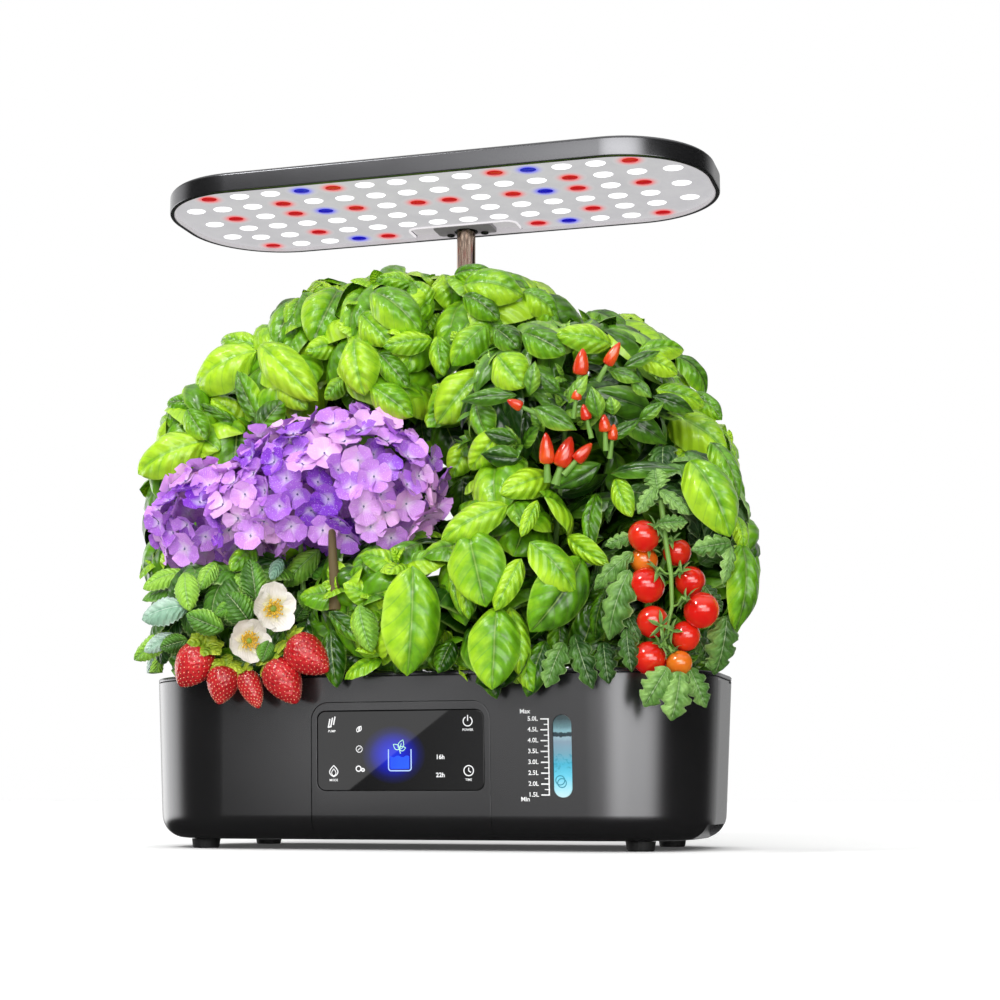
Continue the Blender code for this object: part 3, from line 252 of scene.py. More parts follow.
@dataclass(frozen=True)
class LitSurface(Finish):
    """A surface that gives light: the LEDs and the display are lamps, while on the white board, the bay's
    liner, lip and bezel and the bracket the glow is painted light.
    """

    glow: float = 1.0
    light: str = "#ffffff"
    second: str = "#ffffff"

    def pattern(self, tree: bpy.types.NodeTree) -> dict:
        """Add uneven light: from the phosphor in a lamp, and as a painted glow on a surface that is no lamp.

        Args:
            tree: The material's node tree.

        Returns:
            What goes into the shader's inputs.
        """
        place = add_node(tree, "TexCoord").outputs["Object"]
        drift = add_node(tree, "TexNoise", {"Vector": place, "Scale": 60.0, "Detail": 2.0})
        ramp = add_node(tree, "ValToRGB", {"Fac": drift}, ((0.3, self.light), (0.7, self.second)))
        return {"Emission Color": ramp, "Emission Strength": self.glow}


@dataclass(frozen=True)
class BlackGlass(Finish):
    """Toughened black glass with a display behind it: a mirror-like face and a blue light that fades out."""

    glow: str = "#0a2ce4"
    middle: tuple[float, float] = (-0.0042, 0.0615)
    reach: tuple[float, float] = (0.0220, 0.0190)

    def pattern(self, tree: bpy.types.NodeTree) -> dict:
        """Add the display's glow by its distance, and faint finger smears in the gloss.

        Args:
            tree: The material's node tree.

        Returns:
            What goes into the shader's inputs.
        """
        place = add_node(tree, "TexCoord").outputs["Object"]
        shifted = add_node(tree, "Mapping", {
            "Vector": place, "Scale": (1 / self.reach[0], 0.0, 1 / self.reach[1]),
            "Location": (-self.middle[0] / self.reach[0], 0.0, -self.middle[1] / self.reach[1])})
        away = add_node(tree, "VectorMath", {0: shifted}, operation="LENGTH").outputs["Value"]
        smears = add_node(tree, "TexNoise", {"Vector": place, "Scale": 45.0, "Detail": 5.0})
        return {
            "Emission Color": add_node(tree, "ValToRGB", {"Fac": away}, (
                (0.10, self.glow), (0.45, "#0414b8"), (0.78, "#020650"), (1.0, "#000000"))),
            "Emission Strength": 1.0,
            "Roughness": add_node(tree, "MapRange", {
                "Value": smears, "To Min": self.roughness, "To Max": self.roughness + 0.02}),
        }


@dataclass(frozen=True)
class WaterGlass(Finish):
    """A clear window with water behind it: grey above the surface and darker towards the top, stirred pale
    blue water below, and a painted glow over it all.
    """

    bubbles: tuple = ((0.1083, 0.0431, 0.0028), (0.1072, 0.0448, 0.0029))
    stirred_height: float = 0.0555
    stirred_reach: float = 0.0060

    def pattern(self, tree: bpy.types.NodeTree) -> dict:
        """Colour the window by its height, with the surface's dark line, stirred water and two bubbles, and
        give it a painted glow.

        Args:
            tree: The material's node tree.

        Returns:
            What goes into the shader's inputs.
        """
        place = add_node(tree, "TexCoord").outputs["Object"]
        stir = add_node(tree, "TexNoise", {"Vector": place, "Scale": 330.0, "Detail": 5.0, "Distortion": 1.6})
        height = add_node(tree, "SeparateXYZ", {"Vector": place}).outputs["Z"]
        bent = add_node(tree, "Math", {0: stir, 1: 0.0035, 2: height}, operation="MULTIPLY_ADD")
        level = add_node(tree, "MapRange", {
            "Value": bent, "From Min": WINDOW_LOW, "From Max": WINDOW_HIGH + 0.002})
        water = add_node(tree, "ValToRGB", {"Fac": level}, (
            (0.00, "#c4dce0"), (0.12, "#9cd0dc"), (0.28, "#5cbcd4"), (0.42, "#3ca4c0"), (0.54, "#6496a8"),
            (0.68, "#7890a0"), (0.735, "#8aa6b2"), (0.745, "#0c2832"), (0.785, "#0e2e38"), (0.80, "#7aa4ae"),
            (0.86, "#547880"), (0.95, "#2c4044")))
        rings = []
        for x, z, radius in self.bubbles:
            moved = add_node(tree, "VectorMath", {0: place, 1: (x, 0.0, z)}, operation="SUBTRACT")
            flat = add_node(tree, "VectorMath", {0: moved, 1: (1, 0, 1)}, operation="MULTIPLY")
            away = add_node(tree, "VectorMath", {0: flat}, operation="LENGTH").outputs["Value"]
            rings.append(add_node(tree, "Math", {0: away, 1: radius, 2: 0.00035}, operation="COMPARE"))
        ring = add_node(tree, "Math", {0: rings[0], 1: rings[1]}, operation="MAXIMUM")
        streaks = add_node(tree, "MapRange", {
            "Value": stir, "From Min": 0.40, "From Max": 0.47, "To Min": 0.55, "To Max": 0.0})
        band = add_node(tree, "Math", {0: height, 1: self.stirred_height, 2: self.stirred_reach},
                        operation="COMPARE")
        stirred = add_node(tree, "Math", {0: streaks, 1: band}, operation="MULTIPLY")
        marks = add_node(tree, "Math", {0: ring, 1: stirred}, operation="MAXIMUM")
        mixed = add_node(tree, "Mix", {0: marks, 6: water, 7: linear("#1f7f96")}, data_type="RGBA").outputs[2]
        # Painted glow: the window is no lamp, and its glow lifts the water's colour.
        return {"Base Color": mixed, "Emission Color": mixed, "Emission Strength": 0.22}


@dataclass(frozen=True)
class PaintedHaloBoard(Finish):
    """The white board round a coloured LED, with the LED's light painted on it as a glow that fades into the
    lacquer.
    """

    halo: str = "#ff4848"
    glow: float = 0.45

    def pattern(self, tree: bpy.types.NodeTree) -> dict:
        """Blend from the board's painted glow to the LED's colour, by the disc's share of the painted halo.

        Args:
            tree: The material's node tree.

        Returns:
            What goes into the shader's inputs.
        """
        share = add_node(tree, "Attribute", attribute_name="tint").outputs["Fac"]
        mixed = add_node(tree, "Mix", {0: share, 6: linear(BOARD_LIGHT), 7: linear(self.halo)},
                         data_type="RGBA")
        strength = add_node(tree, "MapRange", {"Value": share, "To Min": self.glow, "To Max": 0.9})
        return {"Emission Color": mixed.outputs[2], "Emission Strength": strength}


@dataclass(frozen=True)
class LeafSkin(Finish):
    """A living leaf: waxy skin, pale veins, and the flesh puffed up between them."""

    dark: str = "#1d5a0c"
    bright: str = "#a6dd2c"
    vein: str = "#c4e860"
    vein_count: float = 6.0
    slant: float = 0.55
    pucker: float = 0.0012
    vein_strength: float = 0.5
    groove_shade: float = 0.22
    one_side_light: float = 0.45

    def pattern(self, tree: bpy.types.NodeTree) -> dict:
        """Colour the leaf by its tint, which holds painted light and shade, paint shade into its grooves and
        light onto its edges and one half, then draw its veins and puckers from the leaf's own map.

        Args:
            tree: The material's node tree.

        Returns:
            What goes into the shader's inputs.
        """
        sides = add_node(tree, "SeparateXYZ", {"Vector": add_node(tree, "UVMap")})
        from_middle = add_node(tree, "Math", {0: sides.outputs["X"], 1: 0.5}, operation="SUBTRACT")
        across = add_node(tree, "Math", {0: from_middle}, operation="ABSOLUTE")
        bowed = add_node(tree, "Math", {0: across, 1: 1.35}, operation="POWER")
        slid = add_node(tree, "Math", {0: bowed, 1: -self.slant * 1.2, 2: sides.outputs["Y"]},
                        operation="MULTIPLY_ADD")
        turns = add_node(tree, "Math", {0: slid, 1: self.vein_count}, operation="MULTIPLY")
        saw = add_node(tree, "Math", {0: turns, 1: 0.5}, operation="PINGPONG")
        # Painted shade: the side veins' grooves and the midrib's crease are painted darker.
        groove_shade = add_node(tree, "MapRange", {
            "Value": saw, "From Max": 0.07, "To Min": self.groove_shade, "To Max": 0.0})
        crease_shade = add_node(tree, "MapRange", {
            "Value": across, "From Max": 0.07, "To Min": self.groove_shade * 1.6, "To Max": 0.0})
        groove_shade = add_node(tree, "Math", {0: groove_shade, 1: crease_shade}, operation="MAXIMUM")
        side_vein = add_node(tree, "MapRange", {
            "Value": saw, "From Max": 0.045, "To Min": self.vein_strength * 0.5, "To Max": 0.0})
        mid_vein = add_node(tree, "MapRange", {
            "Value": across, "From Max": 0.022, "To Min": self.vein_strength * 1.4, "To Max": 0.0})
        margin = add_node(tree, "MapRange", {
            "Value": across, "From Min": 0.455, "From Max": 0.49, "To Max": self.vein_strength})
        veins = add_node(tree, "Math", {0: side_vein, 1: mid_vein}, operation="MAXIMUM")
        veins = add_node(tree, "Math", {0: veins, 1: margin}, operation="MAXIMUM")
        place = add_node(tree, "TexCoord").outputs["Object"]
        mottle = add_node(tree, "TexNoise", {"Vector": place, "Scale": 110.0, "Detail": 5.0})
        # The tint holds painted light and shade as well as the leaf's own tone; the blade is also painted
        # lighter towards its edges, and one half lighter than the other.
        tone_and_shade = add_node(tree, "Attribute", attribute_name="tint").outputs["Fac"]
        rim = add_node(tree, "Math", {0: across, 1: 0.40, 2: tone_and_shade}, operation="MULTIPLY_ADD")
        sided = add_node(tree, "Math", {0: from_middle, 1: self.one_side_light, 2: rim}, operation="MULTIPLY_ADD")
        toned_and_shaded = add_node(tree, "Math", {0: mottle, 1: 0.90, 2: sided}, operation="MULTIPLY_ADD")
        toned_and_shaded = add_node(tree, "Math", {0: toned_and_shaded, 1: 0.47}, operation="SUBTRACT")
        toned_and_shaded = add_node(tree, "Math", {0: toned_and_shaded, 1: groove_shade}, operation="SUBTRACT")
        skin = add_node(tree, "ValToRGB", {"Fac": toned_and_shaded},
                        ((0.05, self.dark), (0.55, self.colour), (1.0, self.bright)))
        mixed = add_node(tree, "Mix", {0: veins, 6: skin, 7: linear(self.vein)}, data_type="RGBA")
        puff = add_node(tree, "MapRange", {"Value": saw, "From Max": 0.5}, interpolation_type="SMOOTHSTEP")
        swell = add_node(tree, "Math", {0: mottle, 1: 0.35, 2: puff}, operation="MULTIPLY_ADD")
        bump = add_node(tree, "Bump", {"Height": swell, "Distance": self.pucker, "Strength": 0.6})
        return {"Base Color": mixed.outputs[2], "Normal": bump}


@dataclass(frozen=True)
class PetalSkin(Finish):
    """A petal: a soft matt skin, paler at its foot, with fine ribs along it."""

    dark: str = "#8a3fe0"
    bright: str = "#e0b4f4"
    foot: str = "#fbf4ff"
    foot_reach: float = 0.42
    dew_glint: float = 0.42

    def pattern(self, tree: bpy.types.NodeTree) -> dict:
        """Blend from the petal's foot to its edge, by the floret's own tint, with small painted highlights
        for dew.

        Args:
            tree: The material's node tree.

        Returns:
            What goes into the shader's inputs.
        """
        leaf_map = add_node(tree, "UVMap")
        along = add_node(tree, "SeparateXYZ", {"Vector": leaf_map}).outputs["Y"]
        tone_and_shade = add_node(tree, "Attribute", attribute_name="tint").outputs["Fac"]
        skin = add_node(tree, "ValToRGB", {"Fac": tone_and_shade},
                        ((0.05, self.dark), (0.5, self.colour), (0.95, self.bright)))
        pale = add_node(tree, "MapRange", {
            "Value": along, "From Min": 0.0, "From Max": self.foot_reach, "To Min": 0.7, "To Max": 0.0})
        mixed = add_node(tree, "Mix", {0: pale, 6: skin, 7: linear(self.foot)}, data_type="RGBA").outputs[2]
        place = add_node(tree, "TexCoord").outputs["Object"]
        # Painted highlights: small pale spots stand for dew drops and the glints on them.
        dew_glint_cells = add_node(tree, "TexVoronoi", {"Vector": place, "Scale": 760.0})
        dew_glint = add_node(tree, "MapRange", {
            "Value": dew_glint_cells, "From Min": 0.10, "From Max": 0.34, "To Min": self.dew_glint, "To Max": 0.0})
        glinted = add_node(tree, "Mix", {0: dew_glint, 6: mixed, 7: linear("#fdf4ff")}, data_type="RGBA").outputs[2]
        ribs = add_node(tree, "TexWave", {"Vector": leaf_map, "Scale": 3.0, "Distortion": 1.5}).outputs["Fac"]
        bump = add_node(tree, "Bump", {"Height": ribs, "Distance": 0.0003, "Strength": 0.4})
        return {"Base Color": glinted, "Normal": bump}


@dataclass(frozen=True)
class FruitSkin(Finish):
    """A ripe fruit: tight glossy skin with a drift of ripeness, and pits where the seeds sit."""

    second: str = "#f0641e"
    pits: float = 0.0

    def pattern(self, tree: bpy.types.NodeTree) -> dict:
        """Add the drift of ripeness and, on a strawberry, the seed pits, painted darker as shade.

        Args:
            tree: The material's node tree.

        Returns:
            What goes into the shader's inputs.
        """
        place = add_node(tree, "TexCoord").outputs["Object"]
        drift = add_node(tree, "TexNoise", {"Vector": place, "Scale": 55.0, "Detail": 2.0})
        ramp = add_node(tree, "ValToRGB", {"Fac": drift}, ((0.4, self.colour), (0.75, self.second)))
        if not self.pits:
            bump = add_node(tree, "Bump", {"Height": drift, "Distance": 0.0004, "Strength": 0.2})
            return {"Base Color": ramp, "Normal": bump}
        cells = add_node(tree, "TexVoronoi", {"Vector": place, "Scale": self.pits})
        # Painted shade: the seed pits are darkened.
        pit_shade = add_node(tree, "MapRange", {
            "Value": cells, "From Min": 0.15, "From Max": 0.45, "To Min": 0.75, "To Max": 0.0})
        mixed = add_node(tree, "Mix", {0: pit_shade, 6: ramp, 7: linear("#8c0a14")}, data_type="RGBA").outputs[2]
        bump = add_node(tree, "Bump", {"Height": cells, "Distance": 0.0012, "Strength": 0.7})
        return {"Base Color": mixed, "Normal": bump}


# The colour of the board's painted glow, which the painted halos also start from.
BOARD_LIGHT = "#f4f2f6"
CHARCOAL = MouldedPlastic("charcoal_abs_metallic_lacquer", "#5c5c5d", 0.24, 0.93, second="#5f5f60",
                          grain=0.000003)
LAMP_GREY = MouldedPlastic("lamp_abs_metallic_lacquer", "#5e5e60", 0.22, 0.93, second="#616163",
                           grain=0.000003)
# Painted glow: the bracket is no lamp, and its glow stands in for light falling on it.
BRACKET_PAINTED_GLOW = LitSurface("bracket_powder_coated_painted_glow", "#707071", 0.5, glow=0.24, light="#9c929c",
                          second="#a298a2")
# Painted glow: the bay's liner and the white bezel are no lamps, and their glow stands in for light falling
# on them.
LINER_PAINTED_GLOW = LitSurface("lamp_bay_liner_white_painted_glow", "#8c8a8c", 0.5, glow=0.56, light="#d8d2d8",
                        second="#dcd6dc")
BLACK_TRIM = MouldedPlastic("black_abs_gloss_moulded", "#0c0c0d", 0.25, second="#121213")
BLACK_RUBBER = MouldedPlastic("black_rubber_moulded", "#121212", 0.7, second="#1a1a1a", grain=0.00006)
PUMP_BLACK = MouldedPlastic("pump_abs_moulded", "#1a1a1b", 0.5, second="#222224")
WHITE_PLASTIC = MouldedPlastic("white_abs_moulded", "#e4e4e4", 0.35, second="#ededed")
WHITE_INK = MouldedPlastic("white_ink_screen_printed", "#f4f4f4", 0.6, second="#fdfdfd")
NET_PLASTIC = MouldedPlastic("basket_polypropylene_moulded", "#c9cccb", 0.35, second="#d6d8d7")
GREEN_BOARD = MouldedPlastic("circuit_board_solder_masked", "#0f4d2c", 0.4, second="#155c36")
BRONZE = DrawnMetal("bronze_plated_tube_drawn", "#8c7464", 0.15, 1.0, second="#bca898")
SCREW_STEEL = DrawnMetal("screw_steel_blackened", "#3a3a3b", 0.35, 1.0, second="#4a4a4b")
TOUCH_GLASS = BlackGlass("touch_glass_black_polished", "#0d0d0e", 0.01)
WATER_WINDOW_PAINTED_GLOW = WaterGlass("level_window_polycarbonate_painted_glow", "#a4ecf6", 0.12, coat=0.5)
LIT_WHITE = LitSurface("display_icon_white_lit", "#808080", 0.5, glow=0.85, light="#f2f4f6", second="#ffffff")
LIT_PALE_BLUE = LitSurface("display_cup_pale_blue_lit", "#5a6a80", 0.5, glow=0.9, light="#a4c4ff",
                           second="#b8d4ff")
LIT_PALE_GREEN = LitSurface("display_sprout_green_lit", "#5a8068", 0.5, glow=0.9, light="#a8f0d0",
                            second="#d8fff0")
LIT_WATER = LitSurface("display_water_blue_lit", "#001a60", 0.5, glow=1.0, light="#0a46ff", second="#1458ff")
# Painted glow: the white board is no lamp, and its glow stands in for the LEDs' light falling on it.
BOARD_PAINTED_GLOW = LitSurface("led_board_white_painted_glow", "#4c4c4c", 0.5, glow=0.60, light=BOARD_LIGHT,
                         second="#ebe9ee")
# Painted glow: the bay's white lip is no lamp, and its glow stands in for light falling on it.
LIP_PAINTED_GLOW = LitSurface("lamp_bay_lip_white_painted_glow", "#9c9a9c", 0.5, glow=0.78, light="#f2ecf2",
                       second="#f6f0f6")
LED_WHITE = LitSurface("led_lens_white_lit", "#909090", 0.2, glow=1.5, light="#ffffff", second="#fbfbff")
LED_RED = LitSurface("led_lens_red_lit", "#500404", 0.2, glow=0.75, light="#cc101c", second="#d8141c")
LED_BLUE = LitSurface("led_lens_blue_lit", "#040450", 0.2, glow=0.75, light="#1008c0", second="#180cc8")
# Painted halos: the board round the coloured LEDs glows in their colours.
RED_PAINTED_HALO = PaintedHaloBoard("led_board_red_painted_halo", "#4c4c4c", 0.5, halo="#ff4a50", glow=0.60)
BLUE_PAINTED_HALO = PaintedHaloBoard("led_board_blue_painted_halo", "#4c4c4c", 0.5, halo="#5c5cff", glow=0.60)
BASIL_SKIN = LeafSkin("basil_leaf_waxy", "#69a812", 0.30, coat=0.16, dark="#1c4803", bright="#b2e028",
                      vein="#c0e46c", vein_strength=0.30, pucker=0.0013)
STRAWBERRY_SKIN = LeafSkin("strawberry_leaf_downy", "#5f9a2c", 0.40, dark="#1c460e", bright="#9cd244",
                           vein="#c0dc90", vein_count=9.0, vein_strength=0.5)
HYDRANGEA_SKIN = LeafSkin("hydrangea_leaf_waxy", "#5fa42c", 0.4, dark="#245814", bright="#b0dc5a",
                          vein="#c4e890", vein_count=8.0)
CHILLI_SKIN = LeafSkin("chilli_leaf_waxy", "#568c1e", 0.28, coat=0.3, dark="#143a06", bright="#9ccc44",
                       vein="#a8cc74", vein_count=5.0, vein_strength=0.2, pucker=0.0006)
TOMATO_SKIN = LeafSkin("tomato_leaf_downy", "#548432", 0.40, dark="#1c4410", bright="#98c468",
                       vein="#c0dc98", vein_count=7.0, vein_strength=0.5)
STEM_SKIN = MouldedPlastic("plant_stem_green_grown", "#6c9a3c", 0.5, second="#8bb457", grain=0.0001)
WOODY_SKIN = MouldedPlastic("hydrangea_stem_woody_grown", "#5a4a2c", 0.7, second="#7c6a40", grain=0.0003)
HYDRANGEA_PETAL = PetalSkin("hydrangea_petal_matt", "#cc86ee", 0.5, dark="#8c38d8", bright="#ffc8fc")
WHITE_PETAL = PetalSkin("strawberry_petal_white_matt", "#e8e2da", 0.55, dark="#dcd4cc", bright="#f0ece4",
                        foot="#e4e06c", foot_reach=0.5, dew_glint=0.0)
STRAWBERRY_RED = FruitSkin("strawberry_flesh_glossy", "#b01018", 0.30, coat=0.35, second="#d42428",
                           pits=420.0)
TOMATO_RED = FruitSkin("tomato_skin_glossy", "#d81810", 0.14, coat=0.7, second="#e83c1c")
TOMATO_ORANGE = FruitSkin("tomato_skin_half_ripe", "#e06414", 0.14, coat=0.7, second="#e88a24")
SEED_SKIN = MouldedPlastic("strawberry_seed_dry_grown", "#e8b088", 0.6, second="#f0c8a0", grain=0.0001)
STAMEN_SKIN = MouldedPlastic("flower_stamen_grown", "#c8820c", 0.7, second="#f0cc38", grain=0.0002)
CALYX_SKIN = LeafSkin("strawberry_calyx_grown", "#8ea81c", 0.45, dark="#5c8414", bright="#b8c838",
                      vein="#c8d45c", vein_count=4.0, vein_strength=0.3)
UNDERSIDE_SKIN = LeafSkin("strawberry_leaf_underside_downy", "#8fb89c", 0.55, dark="#5f9478",
                          bright="#cfe6d8", vein="#dceee0", vein_count=7.0, vein_strength=0.5)
EYE_SKIN = MouldedPlastic("hydrangea_eye_grown", "#6c5c9c", 0.7, second="#8c94a0", grain=0.0002)
CHILLI_RED = FruitSkin("chilli_skin_glossy", "#d02c14", 0.18, coat=0.7, second="#f0601e")
SPONGE = MouldedPlastic("growing_sponge_peat_foam", "#4a3020", 0.95, second="#5e4030", grain=0.0006)


def new_object(name: str, bm: bmesh.types.BMesh, smooth: bool = False) -> bpy.types.Object:
    """Turn a bmesh into an object of the scene.

    Args:
        name: The object's name.
        bm: The bmesh, which is freed.
        smooth: True to shade all its faces smooth.

    Returns:
        The object, at the origin.
    """
    mesh = bpy.data.meshes.new(name)
    bm.to_mesh(mesh)
    bm.free()
    if smooth:
        mesh.polygons.foreach_set("use_smooth", [True] * len(mesh.polygons))
    body = bpy.data.objects.new(name, mesh)
    bpy.context.scene.collection.objects.link(body)
    return body


@dataclass(frozen=True)
class Ring:
    """A level rounded rectangle, half_x and half_y from its middle."""

    half_x: float
    half_y: float
    radius: float
    z: float
    x: float = 0.0
    y: float = 0.0

    def draw(self, bm: bmesh.types.BMesh) -> bmesh.types.BMFace:
        """Draw the ring as one face.

        Args:
            bm: The bmesh that gets the ring.

        Returns:
            The ring's face.
        """
        corners = [bm.verts.new((self.x + a * self.half_x, self.y + b * self.half_y, self.z))
                   for a, b in ((1, 1), (-1, 1), (-1, -1), (1, -1))]
        bm.faces.new(corners)
        made = bmesh.ops.bevel(bm, geom=corners, offset=self.radius, offset_type="OFFSET",
                               segments=CORNER_SEGMENTS, profile=0.5, affect="VERTICES", material=-1)
        return made["verts"][0].link_faces[0]


def stacked(name: str, rings: list[Ring], place: Matrix = Matrix.Identity(4)) -> bpy.types.Object:
    """Make a closed solid through level rings, from the lowest up.

    Args:
        name: The object's name.
        rings: The rings in order.
        place: Where the finished shape goes.

    Returns:
        The solid.
    """
    bm = bmesh.new()
    faces = [ring.draw(bm) for ring in rings]
    for low, high in zip(faces, faces[1:]):
        bmesh.ops.bridge_loops(bm, edges=list(low.edges) + list(high.edges))
    bmesh.ops.delete(bm, geom=faces[1:-1], context="FACES_ONLY")
    bmesh.ops.transform(bm, matrix=place, verts=bm.verts[:])
    bmesh.ops.recalc_face_normals(bm, faces=bm.faces[:])
    return new_object(name, bm)


def slab_rings(half_x: float, half_y: float, radius: float, low: float, high: float, edge: float,
               x: float = 0.0, y: float = 0.0) -> list[Ring]:
    """Give the rings of a flat slab with eased edges.

    Args:
        half_x: Half its width.
        half_y: Half its depth.
        radius: Its corners' radius.
        low: Its underside.
        high: Its top.
        edge: The easing of its edges.
        x: Its middle.
        y: Its middle.

    Returns:
        The rings from the lowest up.
    """
    rows = ((edge, low), (edge * 0.3, low + edge * 0.3), (0.0, low + edge),
            (0.0, high - edge), (edge * 0.3, high - edge * 0.3), (edge, high))
    return [Ring(half_x - d, half_y - d, radius - d, z, x, y) for d, z in rows]


def turned(name: str, profile: list[tuple[float, float]], x: float = 0.0, y: float = 0.0, steps: int = 48,
           place: Matrix = Matrix.Identity(4)) -> bpy.types.Object:
    """Spin a profile of radius and height into a closed round solid.

    Args:
        name: The object's name.
        profile: Radius and height of each point.
        x: The axis's place.
        y: The axis's place.
        steps: How many faces go round.
        place: Where the finished shape goes.

    Returns:
        The solid.
    """
    bm = bmesh.new()
    add_turned(bm, profile, Matrix.Translation((x, y, 0.0)), steps)
    bmesh.ops.transform(bm, matrix=place, verts=bm.verts[:])
    return new_object(name, bm)


def add_turned(bm: bmesh.types.BMesh, profile: list[tuple[float, float]], place: Matrix,
               steps: int = 24) -> list[bmesh.types.BMVert]:
    """Spin a profile inside a bmesh. The shapes that it holds already are tagged and left alone.

    Args:
        bm: The bmesh that gets the shape.
        profile: Radius and height of each point.
        place: Where the shape goes.
        steps: How many faces go round.

    Returns:
        The new vertices.
    """
    row = [bm.verts.new((radius, 0.0, z)) for radius, z in profile]
    edges = [bm.edges.new(pair) for pair in zip(row, row[1:])]
    bmesh.ops.spin(bm, geom=row + edges, cent=(0, 0, 0), axis=(0, 0, 1), dvec=(0, 0, 0),
                   angle=2 * math.pi, steps=steps, use_merge=True)
    bmesh.ops.remove_doubles(bm, verts=[v for v in bm.verts if not v.tag], dist=1e-7)
    verts = [v for v in bm.verts if not v.tag]
    faces = list({f for v in verts for f in v.link_faces})
    bmesh.ops.recalc_face_normals(bm, faces=faces)
    bmesh.ops.transform(bm, matrix=place, verts=verts)
    for vert in verts:
        vert.tag = True
    return verts


def bake(body: bpy.types.Object) -> bpy.types.Object:
    """Apply an object's modifiers into its mesh.

    Args:
        body: The object.

    Returns:
        The object.
    """
    bpy.context.view_layer.update()
    mesh = bpy.data.meshes.new_from_object(body.evaluated_get(bpy.context.evaluated_depsgraph_get()))
    body.modifiers.clear()
    body.data = mesh
    return body


def carve(body: bpy.types.Object, cutters: list, operation: str = "DIFFERENCE") -> bpy.types.Object:
    """Cut, join or intersect a solid with others, which are used up.

    Args:
        body: The solid that is changed.
        cutters: The other solids.
        operation: DIFFERENCE, UNION or INTERSECT.

    Returns:
        The changed solid.
    """
    for tool in cutters:
        step = body.modifiers.new("carve", "BOOLEAN")
        step.object = tool
        step.operation = operation
        step.solver = "EXACT"
    bake(body)
    for tool in cutters:
        bpy.data.objects.remove(tool)
    return body


def polish(body: bpy.types.Object, edge: float = 0.0, angle: float = 30.0) -> bpy.types.Object:
    """Ease the sharp edges and shade the rest smooth.

    Args:
        body: The solid.
        edge: Width of the eased edge, or nothing.
        angle: Edges sharper than this stay sharp, in degrees.

    Returns:
        The solid.
    """
    bm = bmesh.new()
    bm.from_mesh(body.data)
    bmesh.ops.remove_doubles(bm, verts=bm.verts[:], dist=1e-6)
    bm.to_mesh(body.data)
    bm.free()
    if edge:
        step = body.modifiers.new("edges", "BEVEL")
        step.width = edge
        step.segments = 2
        step.limit_method = "ANGLE"
        step.angle_limit = math.radians(angle)
        bake(body)
    body.data.polygons.foreach_set("use_smooth", [True] * len(body.data.polygons))
    body.data.set_sharp_from_angle(angle=math.radians(angle))
    step = body.modifiers.new("normals", "WEIGHTED_NORMAL")
    step.keep_sharp = True
    return bake(body)


def put(piece: bpy.types.Object, carrier: str, slot: str, finish: Finish, *nodes: str) -> bpy.types.Object:
    """Dress a piece, make it ride, and hide the solids that it stands for.

    Args:
        piece: The piece.
        carrier: The body that it rides on.
        slot: The record's material slot; not used.
        finish: Its finish.
        nodes: The solids that it replaces.

    Returns:
        The piece.
    """
    piece.data.materials.clear()
    piece.data.materials.append(finish.material())
    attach(piece, carrier)
    if nodes:
        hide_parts(*nodes)
    LOG.info("%s: %d faces on %s", piece.name, len(piece.data.polygons), carrier)
    return piece


def dress(finish: Finish, *nodes: str) -> None:
    """Give solids that stay as they are their finish.

    Args:
        finish: The finish.
        nodes: The solids' names.
    """
    for name in nodes:
        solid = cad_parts[name]
        if not solid.data.materials:
            solid.data.materials.append(finish.material())
        for number in range(len(solid.material_slots)):
            solid.material_slots[number].material = finish.material()
        LOG.info("%s: kept, %s", name, finish.name)


def put_grown(name: str, bm: bmesh.types.BMesh, slot: str, finish: Finish) -> None:
    """Make a fruit, a stalk or the like a piece on the deck.

    Args:
        name: The piece's name.
        bm: Its bmesh.
        slot: The record's material slot.
        finish: Its finish.
    """
    put(polish(new_object(name, bm), angle=80), "deck", slot, finish)


def tank_ring(inset: float, z: float) -> Ring:
    """Give the tank's outline at a height, drawn in."""
    return Ring(TANK_HALF_X - inset, TANK_HALF_Y - inset, TANK_RADIUS - inset, z)


def tank_rings(inset: float, low: float, high: float) -> list[Ring]:
    """Give the tank's outline at each height, drawn in by a wall.

    Args:
        inset: How far the form is drawn in.
        low: The form's underside.
        high: The form's top.

    Returns:
        The rings from the lowest up.
    """
    fillet = TANK_FILLET - inset
    top = low + fillet
    rows = []
    for step in range(9):
        turn = math.pi / 2 * (1 - step / 8)
        rows.append((lean(top) + fillet * (1 - math.cos(turn)), top - fillet * math.sin(turn)))
    rows.append((lean(high), high))
    return [tank_ring(inset + d, z) for d, z in rows]


def arc(x: float, z: float, radius: float, start: float, end: float, steps: int) -> list[tuple[float, float]]:
    """Give the points of an arc on the front wall.

    Args:
        x: Its middle.
        z: Its middle.
        radius: Its radius.
        start: Its first angle, in degrees from the right.
        end: Its last angle.
        steps: How many steps it takes.

    Returns:
        The points.
    """
    turns = [math.radians(start + (end - start) * k / steps) for k in range(steps + 1)]
    return [(x + radius * math.cos(turn), z + radius * math.sin(turn)) for turn in turns]


def leaf_loop(x: float, z: float, length: float, width: float, lean_by: float) -> list[tuple[float, float]]:
    """Give the outline of a small drawn leaf.

    Args:
        x: Its foot's place.
        z: Its foot's height.
        length: Its length.
        width: Its width.
        lean_by: How far it leans from upright, in degrees.

    Returns:
        The outline's points.
    """
    turn = math.radians(90 - lean_by)
    points = []
    for step in range(20):
        side = 1 if step < 10 else -1
        along = step / 10 if step < 10 else 2 - step / 10
        out = side * width / 2 * math.sin(math.pi * along ** 0.8)
        points.append((x + along * length * math.cos(turn) - out * math.sin(turn),
                       z + along * length * math.sin(turn) + out * math.cos(turn)))
    return points


